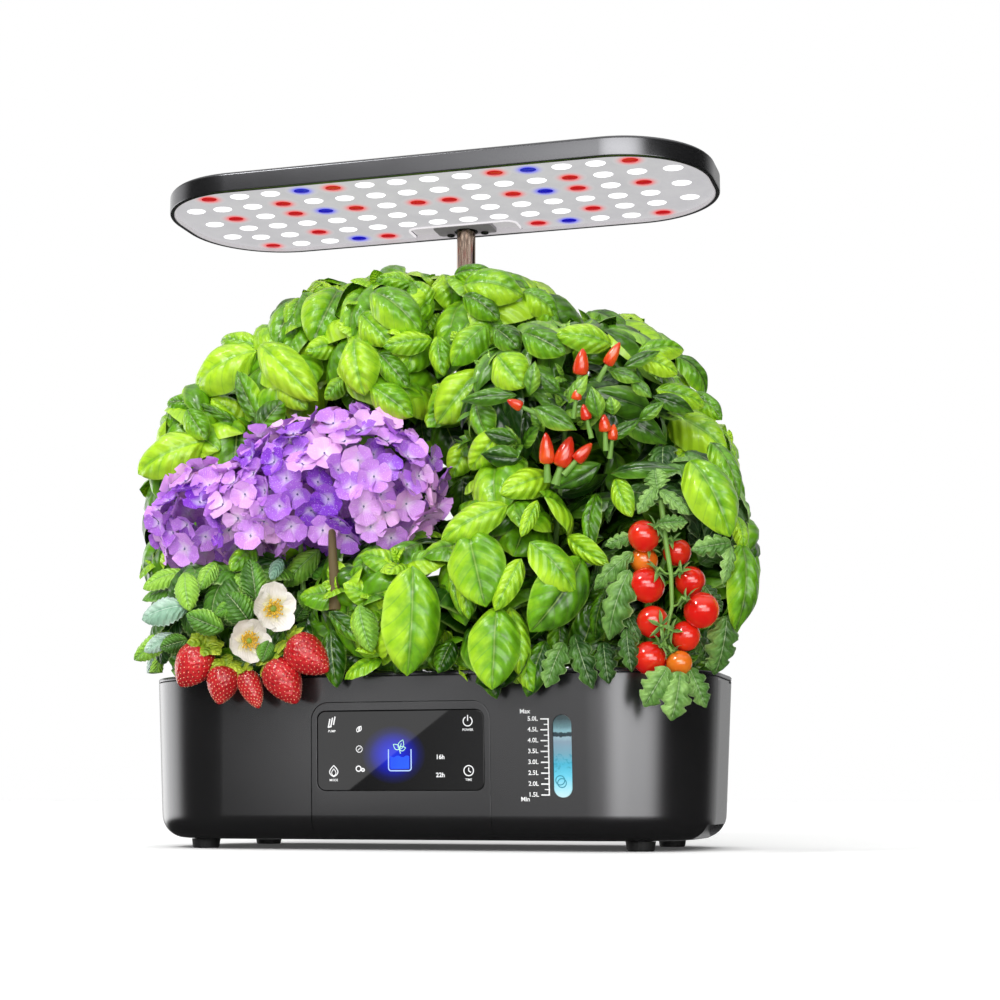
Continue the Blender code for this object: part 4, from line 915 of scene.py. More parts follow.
@dataclass
class PrintSheet:
    """Thin strokes and words on the front wall, joined into one mesh."""

    name: str
    level: float
    shapes: bmesh.types.BMesh = field(default_factory=bmesh.new)

    def take(self, curve: bpy.types.Curve, place: Matrix) -> None:
        """Turn a curve or word into flat mesh and add it.

        Args:
            curve: The curve or word.
            place: Where it goes on the sheet.
        """
        item = bpy.data.objects.new("print_item", curve)
        bpy.context.scene.collection.objects.link(item)
        bpy.context.view_layer.update()
        mesh = bpy.data.meshes.new_from_object(item.evaluated_get(bpy.context.evaluated_depsgraph_get()))
        mesh.transform(place)
        self.shapes.from_mesh(mesh)
        bpy.data.objects.remove(item)

    def stroke(self, points: list[tuple[float, float]], width: float, closed: bool = False) -> None:
        """Draw a line through points.

        Args:
            points: The points, across and up.
            width: The line's width.
            closed: True to join its ends.
        """
        curve = bpy.data.curves.new("stroke", "CURVE")
        curve.dimensions = "3D"
        curve.bevel_depth = width / 2
        curve.bevel_resolution = 1
        curve.use_fill_caps = True
        spline = curve.splines.new("POLY")
        spline.points.add(len(points) - 1)
        for spot, (x, z) in zip(spline.points, points):
            spot.co = (x, z, 0.0, 1.0)
        spline.use_cyclic_u = closed
        self.take(curve, Matrix.Translation((0, 0, self.level)) @ Matrix.Diagonal((1, 1, 0.12, 1)))

    def word(self, body: str, size: float, x: float, z: float, align: str = "CENTER",
             bold: float = 0.0) -> None:
        """Write a word.

        Args:
            body: The word.
            size: Its letters' size.
            x: Its place.
            z: Its middle's height.
            align: LEFT, CENTER or RIGHT.
            bold: How much its strokes are widened.
        """
        curve = bpy.data.curves.new("word", "FONT")
        curve.body = body
        curve.size = size
        curve.align_x = align
        curve.align_y = "CENTER"
        curve.extrude = 0.00003
        curve.offset = bold
        curve.resolution_u = 3
        self.take(curve, Matrix.Translation((x, z, self.level)))

    def patch(self, points: list[tuple[float, float]]) -> None:
        """Fill an outline."""
        loop = [self.shapes.verts.new((x, z, self.level)) for x, z in points]
        self.shapes.faces.new(loop)

    def finish(self, carrier: str, slot: str, look: Finish) -> None:
        """Make the sheet a piece on the front wall."""
        bmesh.ops.transform(self.shapes, matrix=FRONT, verts=self.shapes.verts[:])
        put(new_object(self.name, self.shapes), carrier, slot, look)


@dataclass
class FrontPrints:
    """The gauge's printed scale and what the display shows through the glass."""

    face: float = -GLASS_RECESS + 0.00008
    scale_top: float = 0.0835
    scale_step: float = 0.00684

    def make_scale(self) -> None:
        """Print the gauge from 5.0 to 1.5 litres beside the window."""
        sheet = PrintSheet("gauge_scale_print", 0.00006)
        bottom = self.scale_top - 7 * self.scale_step
        sheet.stroke([(0.1000, self.scale_top + 0.0004), (0.1000, bottom - 0.0004)], 0.0009)
        for step in range(15):
            z = self.scale_top - step * self.scale_step / 2
            major = step % 2 == 0
            sheet.stroke([(0.0948 if major else 0.0971, z), (0.1000, z)], 0.0009 if major else 0.0007)
            if major:
                sheet.word(f"{5.0 - step / 4:.1f}L", 0.0040, 0.0932, z + 0.0002, "RIGHT", 0.00006)
        sheet.word("Max", 0.0040, 0.0847, 0.0884, bold=0.00006)
        sheet.word("Min", 0.0040, 0.0843, 0.0329, bold=0.00006)
        sheet.finish("base", "clear_window", WHITE_INK)

    def make_icons(self) -> None:
        """Light the touch keys, their words and the two time settings."""
        sheet = PrintSheet("display_icons_white", self.face)
        for word, x, z in (("PUMP", -0.0469, 0.0770), ("MODE", -0.0457, 0.0452),
                           ("POWER", 0.0464, 0.0771), ("TIME", 0.0466, 0.0453)):
            sheet.word(word, 0.0021, x, z, bold=0.00003)
        sheet.word("16h", 0.0040, 0.0276, 0.0598, bold=0.0001)
        sheet.word("22h", 0.0040, 0.0276, 0.0483, bold=0.0001)
        sheet.stroke(arc(0.0464, 0.0826, 0.0030, 118, 422, 28), 0.0007)
        sheet.stroke([(0.0464, 0.0828), (0.0464, 0.0866)], 0.0007)
        sheet.stroke(arc(0.0467, 0.0511, 0.0032, 0, 345, 30), 0.0007, True)
        sheet.stroke([(0.0467, 0.0530), (0.0467, 0.0510), (0.0482, 0.0500)], 0.0007)
        for shift in (-0.0018, 0.0, 0.0018):
            sheet.stroke([(-0.0476 + shift, 0.0802 + shift * 0.5), (-0.0464 + shift, 0.0858 + shift * 0.4)],
                         0.0009)
        sheet.stroke([(-0.0494, 0.0796), (-0.0470, 0.0802)], 0.0009)
        sheet.stroke(leaf_loop(-0.0457, 0.0475, 0.0072, 0.0058, 0), 0.0007, True)
        sheet.stroke(leaf_loop(-0.0457, 0.0480, 0.0046, 0.0030, 0), 0.0005, True)
        sheet.stroke(leaf_loop(-0.0292, 0.0764, 0.0040, 0.0020, 25), 0.0006, True)
        sheet.stroke(leaf_loop(-0.0278, 0.0768, 0.0036, 0.0018, 20), 0.0006, True)
        sheet.stroke(arc(-0.0279, 0.0653, 0.0021, 0, 345, 20), 0.0005, True)
        sheet.stroke([(-0.0290, 0.0644), (-0.0268, 0.0662)], 0.0005)
        sheet.stroke(arc(-0.0284, 0.0526, 0.0017, 0, 345, 20), 0.0008, True)
        sheet.stroke(arc(-0.0254, 0.0518, 0.0009, 0, 345, 14), 0.0009, True)
        sheet.finish("base", "touch_glass", LIT_WHITE)

    def make_cup(self) -> None:
        """Light the display's cup of water and the sprout over it."""
        cup = PrintSheet("display_cup_outline", self.face)
        left, right, low, high, corner = -0.0077, 0.0078, 0.0512, 0.0650, 0.0018
        cup.stroke([(left, high)] + arc(left + corner, low + corner, corner, 180, 270, 6)
                   + arc(right - corner, low + corner, corner, 270, 360, 6) + [(right, high)], 0.0008)
        cup.finish("base", "touch_glass", LIT_PALE_BLUE)
        water = PrintSheet("display_cup_water", self.face - 0.00002)
        wave = [(0.0065 - 0.013 * k / 12, 0.0604 + 0.0006 * math.sin(k * 1.1)) for k in range(13)]
        water.patch([(-0.0065, 0.0524), (0.0065, 0.0524)] + wave)
        water.finish("base", "touch_glass", LIT_WATER)
        sprout = PrintSheet("display_sprout", self.face)
        for length, width, lean_by in ((0.0066, 0.0038, 22), (0.0052, 0.0032, -52), (0.0044, 0.0030, 78)):
            sprout.stroke(leaf_loop(-0.0002, 0.0650, length, width, lean_by), 0.0005, True)
        sprout.stroke([(0.0006, 0.0622), (-0.0002, 0.0650), (0.0012, 0.0688)], 0.0005)
        sprout.finish("base", "touch_glass", LIT_PALE_GREEN)

    def build(self) -> None:
        """Make every print and lit sign."""
        self.make_scale()
        self.make_icons()
        self.make_cup()


@dataclass
class TankBase:
    """The water tank, its control block, its level window and what is in and under it."""

    seam: float = PANEL_GAP
    panel_back: float = TANK_HALF_Y - PANEL_DEPTH

    def panel_block(self, grow: float, near: float, far: float) -> bpy.types.Object:
        """Make the control block's outline as a long block through the front wall.

        Args:
            grow: How far the outline is grown.
            near: The block's front, measured forwards from the middle.
            far: The block's back, measured forwards from the middle.

        Returns:
            The block.
        """
        low, high = -0.030, PANEL_TOP + grow
        rings = [Ring(PANEL_HALF_X + grow, (high - low) / 2, PANEL_RADIUS + grow, z, 0.0, (high + low) / 2)
                 for z in (far, near)]
        return stacked("panel_block", rings, UPRIGHT)

    def slot_block(self, side: int) -> bpy.types.Object:
        """Make the finger slot under the deck at one end.

        Args:
            side: -1 at the left, 1 at the right.

        Returns:
            The block.
        """
        low, high = TANK_RIM - 0.0022, TANK_RIM + 0.004
        middle = side * (TANK_HALF_X + 0.010)
        return stacked("slot_block", [Ring(0.0118, 0.028, 0.0008, z, middle) for z in (low, high)])

    def grip_bar(self, side: int, grow: float) -> bpy.types.Object:
        """Make the round bar that hollows the grip at one end.

        Args:
            side: -1 at the left, 1 at the right.
            grow: How far the bar is grown.

        Returns:
            The bar.
        """
        middle = side * (TANK_HALF_X - lean(TANK_LOW) - 0.007 + 0.005)
        half = 0.035 + grow
        lying = Matrix.Translation((middle, 0.0, TANK_LOW)) @ Matrix.Rotation(math.pi / 2, 4, "X")
        return turned("grip_bar", [(0.0, -half), (0.010 + grow, -half), (0.010 + grow, half), (0.0, half)],
                      steps=40, place=lying)

    def make_tank(self) -> None:
        """Make the tank with its bay, slots, grips and holes."""
        hollow = stacked("hollow", tank_rings(TANK_WALL, TANK_LOW + TANK_WALL, BEYOND_WALL))
        carve(hollow, [self.panel_block(TANK_WALL, BEYOND_WALL, self.panel_back - TANK_WALL)]
              + [self.grip_bar(side, TANK_WALL) for side in (-1, 1)])
        rim = tank_ring(lean(TANK_RIM) + 0.0004, TANK_RIM)
        tank = stacked("water_tank_shell", tank_rings(0.0, TANK_LOW, TANK_RIM - 0.0004) + [rim])
        across = Matrix.Translation((-0.095, TANK_HALF_Y, 0.095)) @ Matrix.Rotation(math.pi / 2, 4, "X")
        inlet = turned("inlet", [(0.0, -0.05), (0.0055, -0.05), (0.0055, 0.05), (0.0, 0.05)], steps=32,
                       place=across)
        carve(tank, [hollow, self.panel_block(0.0, BEYOND_WALL, self.panel_back), inlet,
                     self.window_block(0.0002, 0.0, -0.006, 0.004)]
              + [self.grip_bar(side, 0.0) for side in (-1, 1)] + [self.slot_block(side) for side in (-1, 1)])
        put(polish(tank, 0.0003), "base", "charcoal_body", CHARCOAL, "tank")

    def make_control_block(self) -> None:
        """Make the control block's housing, flush with the tank's wall, and its touch glass."""
        housing = stacked("control_block_housing", tank_rings(0.0, TANK_LOW, TANK_RIM))
        carve(housing, [self.panel_block(-self.seam, BEYOND_WALL, self.panel_back + self.seam)], "INTERSECT")
        seat = slab_rings(GLASS_HALF_X + 0.0003, (GLASS_HIGH - GLASS_LOW) / 2 + 0.0003, GLASS_RADIUS + 0.0003,
                          -GLASS_RECESS - GLASS_THICK, 0.01, 0.0, 0.0, (GLASS_HIGH + GLASS_LOW) / 2)
        carve(housing, [stacked("seat", [seat[0], seat[-1]], FRONT)])
        put(polish(housing, 0.0003), "base", "charcoal_body", CHARCOAL, "control_housing")
        half, middle = (GLASS_HIGH - GLASS_LOW) / 2, (GLASS_HIGH + GLASS_LOW) / 2
        back = -GLASS_RECESS - GLASS_THICK
        rings = slab_rings(GLASS_HALF_X, half, GLASS_RADIUS, back, -GLASS_RECESS, 0.0004, 0.0, middle)
        glass = stacked("touch_glass_pane", rings, FRONT)
        put(polish(glass), "base", "touch_glass", TOUCH_GLASS, "control_glass")

    def window_block(self, grow: float, edge: float, low: float, high: float) -> bpy.types.Object:
        """Make the level window's upright shape through the front wall.

        Args:
            grow: How far its outline is grown.
            edge: The easing of its edges, or nothing.
            low: Its back, measured forwards from the wall.
            high: Its face, measured forwards from the wall.

        Returns:
            The block.
        """
        half, middle = (WINDOW_HIGH - WINDOW_LOW) / 2, (WINDOW_HIGH + WINDOW_LOW) / 2
        rings = slab_rings(WINDOW_HALF + grow, half + grow, WINDOW_HALF + grow - 1e-5,
                           low, high, edge, WINDOW_X, middle)
        return stacked("window_block", rings if edge else [rings[0], rings[-1]], FRONT)

    def make_window(self) -> None:
        """Make the level window."""
        window = self.window_block(0.0, 0.0003, -0.0041, -0.0003)
        window.name = "level_window_lens"
        put(polish(window), "base", "clear_window", WATER_WINDOW_PAINTED_GLOW, "level_window")

    def build(self) -> None:
        """Make every piece of the base."""
        self.make_tank()
        self.make_control_block()
        self.make_window()
        dress(BLACK_RUBBER, "foot_front_left", "foot_front_right", "foot_back_left", "foot_back_right")
        dress(GREEN_BOARD, "control_board")
        dress(BLACK_TRIM, "dc_socket")
        dress(PUMP_BLACK, "pump_housing", "riser_tube")
        dress(WHITE_PLASTIC, "pump_impeller")


@dataclass
class PlantingDeck:
    """The lid of the tank with its twelve pods, and the cover of the fill port."""

    def round_block(self, x: float, y: float, radius: float, low: float = 0.10,
                    high: float = BEYOND_WALL) -> bpy.types.Object:
        """Make a round block that cuts a hole."""
        return turned("hole", [(0.0, low), (radius, low), (radius, high), (0.0, high)], x, y)

    def build(self) -> None:
        """Make the deck and the sponges, and dress the baskets and the cover."""
        rows = [(lean(DECK_LOW) + 0.0003, DECK_LOW), (lean(DECK_LOW), DECK_LOW + 0.0003), (0.0002, 0.1140),
                (0.0, 0.1144), (0.0001, 0.1149), (0.0005, 0.1154), (0.0012, 0.1156)]
        plate = stacked("planting_deck_lid", [tank_ring(d, z) for d, z in rows])
        gap = lean(DECK_LOW) + TANK_WALL + 0.0003
        skirt = stacked("skirt", [tank_ring(gap, z) for z in (0.1050, DECK_LOW + 0.0008)])
        carve(skirt, [stacked("core", [tank_ring(gap + 0.0018, z) for z in (0.100, BEYOND_WALL)])])
        boss = self.round_block(0.0, MAST_Y, 0.0135, 0.082, 0.1205)
        carve(plate, [skirt, boss], "UNION")
        holes = [self.round_block(x, y, POD_RADIUS) for y in POD_ROWS for x in POD_X]
        holes.append(self.round_block(*PORT_PLACE, PORT_RADIUS))
        holes.append(self.round_block(0.0, MAST_Y, 0.0093, 0.0853))
        carve(plate, holes)
        put(polish(plate, 0.0003), "deck", "charcoal_body", CHARCOAL, "planting_deck")
        for number, (x, y) in enumerate([(x, y) for y in POD_ROWS for x in POD_X], 1):
            plug = turned(f"peat_sponge_{number:02d}", [
                (0.0, 0.0882), (0.0085, 0.0884), (0.0090, 0.0900), (0.0118, 0.1166), (0.0112, 0.1178),
                (0.0070, 0.1182), (0.0035, 0.1178), (0.0, 0.1170)], x, y, 32)
            put(polish(plug), "deck", "growing_sponge", SPONGE, f"sponge_{number:02d}")
        dress(NET_PLASTIC, *[f"basket_{number:02d}" for number in range(1, 13)])
        dress(CHARCOAL, "fill_cover")


@dataclass
class Mast:
    """The telescopic mast: a lower tube in the deck, a collar, and the upper tube under the lamp."""

    def build(self) -> None:
        """Make the two tubes and the collar."""
        lower = turned("mast_lower_tube", [
            (0.0078, 0.0853), (0.0090, 0.0853), (0.0090, 0.3000), (0.0078, 0.3000), (0.0078, 0.0853)],
            0, MAST_Y, 64)
        put(polish(lower), "deck", "bronze_tube", BRONZE, "mast_lower")
        collar = turned("mast_friction_collar", [
            (0.0091, 0.2893), (0.0107, 0.2893), (0.0112, 0.2898), (0.0112, 0.3048), (0.0107, 0.3053),
            (0.0071, 0.3053), (0.0071, 0.3003), (0.0091, 0.3003), (0.0091, 0.2893)], 0, MAST_Y, 64)
        put(polish(collar), "deck", "dark_trim", BLACK_TRIM, "mast_collar")
        upper = turned("mast_upper_tube", [
            (0.0060, 0.2380), (0.0070, 0.2380), (0.0070, 0.4646), (0.0060, 0.4646), (0.0060, 0.2380)],
            0, MAST_Y, 64)
        put(polish(upper), "lamp", "bronze_tube", BRONZE, "mast_upper")


class LedColour(Enum):
    """The LEDs' colours, by their letter in the rows."""

    WHITE = "W"
    RED = "R"
    BLUE = "B"


@dataclass
class Lamp:
    """The lamp: its tray, the white ring, the LED board, the LEDs, and the bracket under it."""

    pitch: float = 0.0237
    rows: tuple[str, ...] = ("RWWBRWWWWRBWWR", "WWRWWWWWWWWRWW", "RWRBRWRRWRBRWR",
                             "WWWWWWWWWWWWWW", "WWRWWWWWWWWRWW", "RWWBR----RBWWR")

    def ring(self, inset: float, z: float) -> Ring:
        """Give the lamp's outline at a height, drawn in."""
        return Ring(LAMP_HALF_X - inset, LAMP_HALF_Y - inset, LAMP_RADIUS - inset, z, 0.0, LAMP_Y)

    def bay_block(self, grow: float, low: float, high: float) -> bpy.types.Object:
        """Make the block that keeps the bracket's bay clear.

        Args:
            grow: How far its outline is grown.
            low: Its underside.
            high: Its top.

        Returns:
            The block.
        """
        back = 0.080
        half_y, middle = (back - BAY_FRONT) / 2, (back + BAY_FRONT) / 2
        return stacked("bay_block", [Ring(BAY_HALF + grow, half_y + grow, BAY_RADIUS, z, 0.0, middle)
                                     for z in (low, high)])

    def led_list(self) -> list[tuple[float, float, LedColour]]:
        """List the LEDs.

        Returns:
            Each LED's place and colour.
        """
        found = []
        for row, letters in enumerate(self.rows):
            y = LAMP_Y + 0.0035 + (row - 2.5) * self.pitch
            for column, letter in enumerate(letters):
                x = (column - 6.5) * self.pitch - 0.0022
                if letter != "-":
                    found.append((x, y, LedColour(letter)))
        for side in (-1, 1):
            found.extend((side * 0.177, LAMP_Y + step * 0.0325, LedColour.WHITE) for step in (-1, 0, 1))
        return found

    def make_leds(self) -> None:
        """Make the LEDs' lenses and the painted glow on the board round the coloured ones."""
        looks = {LedColour.WHITE: (LED_WHITE, 0.0070, 0.0055), LedColour.RED: (LED_RED, 0.0058, 0.0045),
                 LedColour.BLUE: (LED_BLUE, 0.0058, 0.0045)}
        halos, wide = {LedColour.RED: RED_PAINTED_HALO, LedColour.BLUE: BLUE_PAINTED_HALO}, 0.0120
        for colour, (finish, half_x, half_y) in looks.items():
            lenses, glows = bmesh.new(), bmesh.new()
            share = glows.verts.layers.float.new("tint")
            for x, y, kind in self.led_list():
                if kind is not colour:
                    continue
                place = Matrix.Translation((x, y, 0.0)) @ Matrix.Diagonal((half_x, half_y, 1.0, 1.0))
                dome = [(0.0, LED_LOW), (0.75, 0.45735), (0.93, 0.4576), (1.0, BOARD_LOW)]
                add_turned(lenses, dome, place, 28)
                # Painted light: a disc on the board round each coloured LED glows in its colour, fading
                # outwards; its tint is the disc's share of that glow.
                if colour in halos:
                    spread = Matrix.Diagonal((wide, wide, 1, 1))
                    place = Matrix.Translation((x, y, BOARD_LOW - 0.00008)) @ spread
                    rings = [(reach, 0.0) for reach in (0.0, 0.40, 0.52, 0.64, 0.76, 0.88, 1.0)]
                    for vert in add_turned(glows, rings, place, 28):
                        away = math.hypot(vert.co.x - x, vert.co.y - y) / wide
                        vert[share] = min(1.0, max(0.0, (1.0 - away) / 0.56)) ** 1.7
            name = colour.name.lower()
            put(polish(new_object(f"led_lenses_{name}", lenses)), "lamp", "led_board_white", finish)
            if colour in halos:
                put(new_object(f"led_painted_halos_{name}", glows), "lamp", "led_board_white", halos[colour])

    def make_liner(self) -> None:
        """Line the bracket's bay with pale plastic and edge it with a thin white lip, both with a painted
        glow.
        """
        back = 0.0635
        half_y, middle = (back - BAY_FRONT) / 2, (back + BAY_FRONT) / 2
        liner = stacked("lamp_bay_liner", slab_rings(
            BAY_HALF - 0.0003, half_y, 0.004, BOARD_HIGH, 0.4601, 0.0001, 0.0, middle))
        wall = stacked("wall", [Ring(BAY_HALF - 0.0002, 0.0004, 0.0003, z, 0.0, back - 0.0005)
                                for z in (0.4556, 0.4600)])
        carve(liner, [wall], "UNION")
        put(polish(liner), "lamp", "led_board_white", LINER_PAINTED_GLOW)
        edge = 0.0006
        lip = stacked("lamp_bay_lip", slab_rings(
            BAY_HALF + edge, half_y + edge, BAY_RADIUS + edge, 0.4570, BOARD_LOW + 0.0004, 0.0002,
            0.0, middle))
        core = [Ring(BAY_HALF - edge, 0.020, BAY_RADIUS - edge, z, 0.0, BAY_FRONT + 0.0206)
                for z in (0.450, 0.465)]
        carve(lip, [stacked("core", core)])
        put(polish(lip), "lamp", "white_plastic", LIP_PAINTED_GLOW)
        # A black ring round the mast's top: its socket, and painted shade where the mast meets the lamp.
        socket = turned("mast_socket_shade_ring", [
            (0.0071, 0.4564), (0.0088, 0.4564), (0.0090, 0.4569), (0.0071, 0.4569), (0.0071, 0.4564)],
            0.0, MAST_Y)
        put(polish(socket), "lamp", "dark_trim", BLACK_TRIM)

    def build(self) -> None:
        """Make the lamp's pieces."""
        rows = [(0.0014, LAMP_LOW), (0.0004, 0.4554), (0.0, 0.4561), (0.0, 0.4672), (0.0004, 0.4682),
                (0.0014, 0.4692), (0.0034, 0.4700), (0.0066, 0.4706), (0.0120, LAMP_TOP)]
        shell = stacked("lamp_housing_tray", [self.ring(d, z) for d, z in rows])
        hollow = stacked("hollow", [self.ring(0.003, z) for z in (0.440, LAMP_ROOF)])
        carve(hollow, [self.bay_block(0.0, 0.4602, 0.480)])
        carve(shell, [hollow])
        put(polish(shell), "lamp", "lamp_body", LAMP_GREY, "lamp_shell")
        # The bezel takes the liner's painted glow; the board and the bracket get painted glows of their own.
        bezel = stacked("lamp_white_bezel", [self.ring(d, z) for d, z in (
            (0.0034, 0.4554), (0.0033, 0.4556), (0.0033, 0.4578))])
        carve(bezel, [stacked("core", [self.ring(0.0044, z) for z in (0.450, 0.460)]),
                      self.bay_block(0.0, 0.450, 0.460)])
        put(polish(bezel), "lamp", "white_plastic", LINER_PAINTED_GLOW, "lamp_bezel")
        board = stacked("led_board_panel", [self.ring(0.0034, z) for z in (BOARD_LOW, BOARD_HIGH)])
        carve(board, [self.bay_block(0.0003, 0.450, 0.480)])
        put(polish(board), "lamp", "led_board_white", BOARD_PAINTED_GLOW, "led_board")
        self.make_leds()
        self.make_liner()
        dress(BRACKET_PAINTED_GLOW, "lamp_bracket")
        dress(SCREW_STEEL, "bracket_screw_left", "bracket_screw_right")


class LeafShape(Enum):
    """A leaf's outline: its fullness near the foot, its taper at the tip, its teeth and their depth."""

    OVATE = (0.58, 0.68, 0, 0.0)
    LANCE = (0.85, 1.05, 0, 0.0)
    SERRATE = (0.60, 0.70, 9, 0.16)
    LOBED = (0.45, 0.60, 4, 0.50)
    PETAL = (0.80, 0.32, 0, 0.0)
    ROUND = (0.50, 0.45, 0, 0.0)

    def half_width(self, along: float) -> float:
        """Give the outline's half width as a share of its widest.

        Args:
            along: How far along the leaf, from 0 at its foot to 1 at its tip.

        Returns:
            The half width.
        """
        foot, tip, teeth, depth = self.value
        peak = (foot / (foot + tip)) ** foot * (tip / (foot + tip)) ** tip
        plain = max(along, 1e-4) ** foot * max(1 - along, 1e-4) ** tip / peak
        if self is LeafShape.LOBED:
            lobe = abs(math.sin(math.pi * (along * teeth + 0.25))) ** 0.7
            plain *= (1 - depth * (1 - lobe)) * (1 - 0.12 * ((along * teeth * 3) % 1.0))
        elif teeth:
            plain *= 1 - depth * ((along * teeth) % 1.0)
        return max(plain, 0.02)


@dataclass
class Leaf:
    """One leaf or petal, from its foot to its tip, with its upper side facing a given way."""

    foot: Vector
    tip: Vector
    facing: Vector
    width: float
    shape: LeafShape = LeafShape.OVATE
    arch: float = 0.5
    cup: float = 0.12
    swell: float = 0.10
    wave: float = 0.03
    tint: float = 0.5
    turn: float = 0.0
    columns: int = 6
    rows: int = 8
    axes: tuple = field(init=False)

    def __post_init__(self) -> None:
        """Work out the leaf's own directions."""
        chord = self.tip - self.foot
        ahead = chord.normalized()
        up = self.facing - ahead * self.facing.dot(ahead)
        up = up.normalized() if up.length > 1e-6 else ahead.orthogonal().normalized()
        self.axes = (chord.length, ahead, up, ahead.cross(up))

    def point(self, across: float, along: float) -> Vector:
        """Give a point of the blade.

        Args:
            across: From -1 at the left edge to 1 at the right.
            along: From 0 at the foot to 1 at the tip.

        Returns:
            The point in metres.
        """
        length, ahead, up, side = self.axes
        bend = max(abs(self.arch), 1e-3) * (1 if self.arch >= 0 else -1)
        angle = bend * (1 - 2 * along)
        run = (math.sin(bend) - math.sin(angle)) / (2 * math.sin(bend)) * length
        rise = (math.cos(angle) - math.cos(bend)) / (2 * math.sin(bend)) * length
        normal = up * math.cos(angle) - ahead * math.sin(angle)
        share = self.shape.half_width(along)
        half = self.width / 2 * share
        far = abs(across)
        height = self.swell * 4 * far * (1 - far) - self.cup * far * far
        height += self.wave * far * math.sin(along * 14 + across * 2.2 + self.turn)
        curl = self.turn * 0.12 * math.sin(along * 3)
        return (self.foot + ahead * run + up * rise + side * (across * half)
                + normal * (height * self.width * share + curl * across * half))


def soft(value: float, start: float, limit: float) -> float:
    """Ease a value towards a limit that it never passes.

    Args:
        value: The value.
        start: Where the easing starts.
        limit: The limit.

    Returns:
        The eased value.
    """
    if value <= start:
        return value
    return limit - (limit - start) * math.exp((start - value) / (limit - start))


def keep_clear(point: Vector) -> Vector:
    """Keep a leaf's point under the lamp, off the mast and outside the tank.

    Args:
        point: The point.

    Returns:
        The point, moved where it has to.
    """
    x = min(max(point.x, FOLIAGE_REACH[0] - 0.003), FOLIAGE_REACH[1] + 0.003)
    y = math.copysign(min(abs(point.y), FOLIAGE_REACH[2] + 0.003), point.y)
    z = soft(point.z, FOLIAGE_TOP - 0.006, FOLIAGE_TOP + 0.001)
    away = Vector((x, y - MAST_Y))
    if away.length < MAST_CLEARANCE:
        away = away.normalized() * MAST_CLEARANCE if away.length > 1e-6 else Vector((0.0, MAST_CLEARANCE))
        x, y = away.x, away.y + MAST_Y
    if z < 0.1195 and abs(x) < 0.2025 and abs(y) < 0.0975:
        if y < -0.070 and z < 0.1150:
            y = -0.0975
        else:
            z = 0.1195
    return Vector((x, y, z))


def add_leaf(bm: bmesh.types.BMesh, leaf: Leaf, free: bool = False) -> None:
    """Add a leaf's blade to a plant, with its own map and tint.

    Args:
        bm: The plant's bmesh.
        leaf: The leaf.
        free: True for a small part that needs no keeping clear.
    """
    tint = bm.verts.layers.float.get("tint")
    made = bmesh.ops.create_grid(bm, x_segments=leaf.columns, y_segments=leaf.rows, size=1.0, calc_uvs=True)
    for vert in made["verts"]:
        point = leaf.point(vert.co.x, (vert.co.y + 1) / 2)
        vert.co = point if free else keep_clear(point)
        vert[tint] = leaf.tint


def new_plant_mesh() -> bmesh.types.BMesh:
    """Start a bmesh with a leaf map and a tint for each vertex.

    Returns:
        The bmesh.
    """
    bm = bmesh.new()
    bm.loops.layers.uv.verify()
    bm.verts.layers.float.new("tint")
    return bm


def add_stalk(bm: bmesh.types.BMesh, points: list[Vector], radius: float, sides: int = 6) -> None:
    """Add a thin round stalk along some points.

    Args:
        bm: The bmesh that gets it.
        points: Where it goes, from its foot.
        radius: Its radius at the foot; it thins by half.
        sides: How many faces go round.
    """
    rings = []
    for number, point in enumerate(points):
        ahead = points[min(number + 1, len(points) - 1)] - points[max(number - 1, 0)]
        size = radius * (1 - 0.5 * number / (len(points) - 1))
        made = bmesh.ops.create_circle(bm, segments=sides, radius=size, cap_ends=False,
                                       matrix=Matrix.Translation(point) @ pointing(ahead))
        rings.append(list({edge for vert in made["verts"] for edge in vert.link_edges}))
    for low, high in zip(rings, rings[1:]):
        bmesh.ops.bridge_loops(bm, edges=low + high)


def spiral_way(number: int, z: float) -> Vector:
    """Give the way to a point of a spiral that covers a ball evenly, by its number and height."""
    turn, reach = number * GOLDEN_ANGLE, math.sqrt(1 - z * z)
    return Vector((math.cos(turn) * reach, math.sin(turn) * reach, z))


def pointing(way: Vector) -> Matrix:
    """Give the turn that points a shape's own up along a way."""
    return way.to_track_quat("Z", "Y").to_matrix().to_4x4()


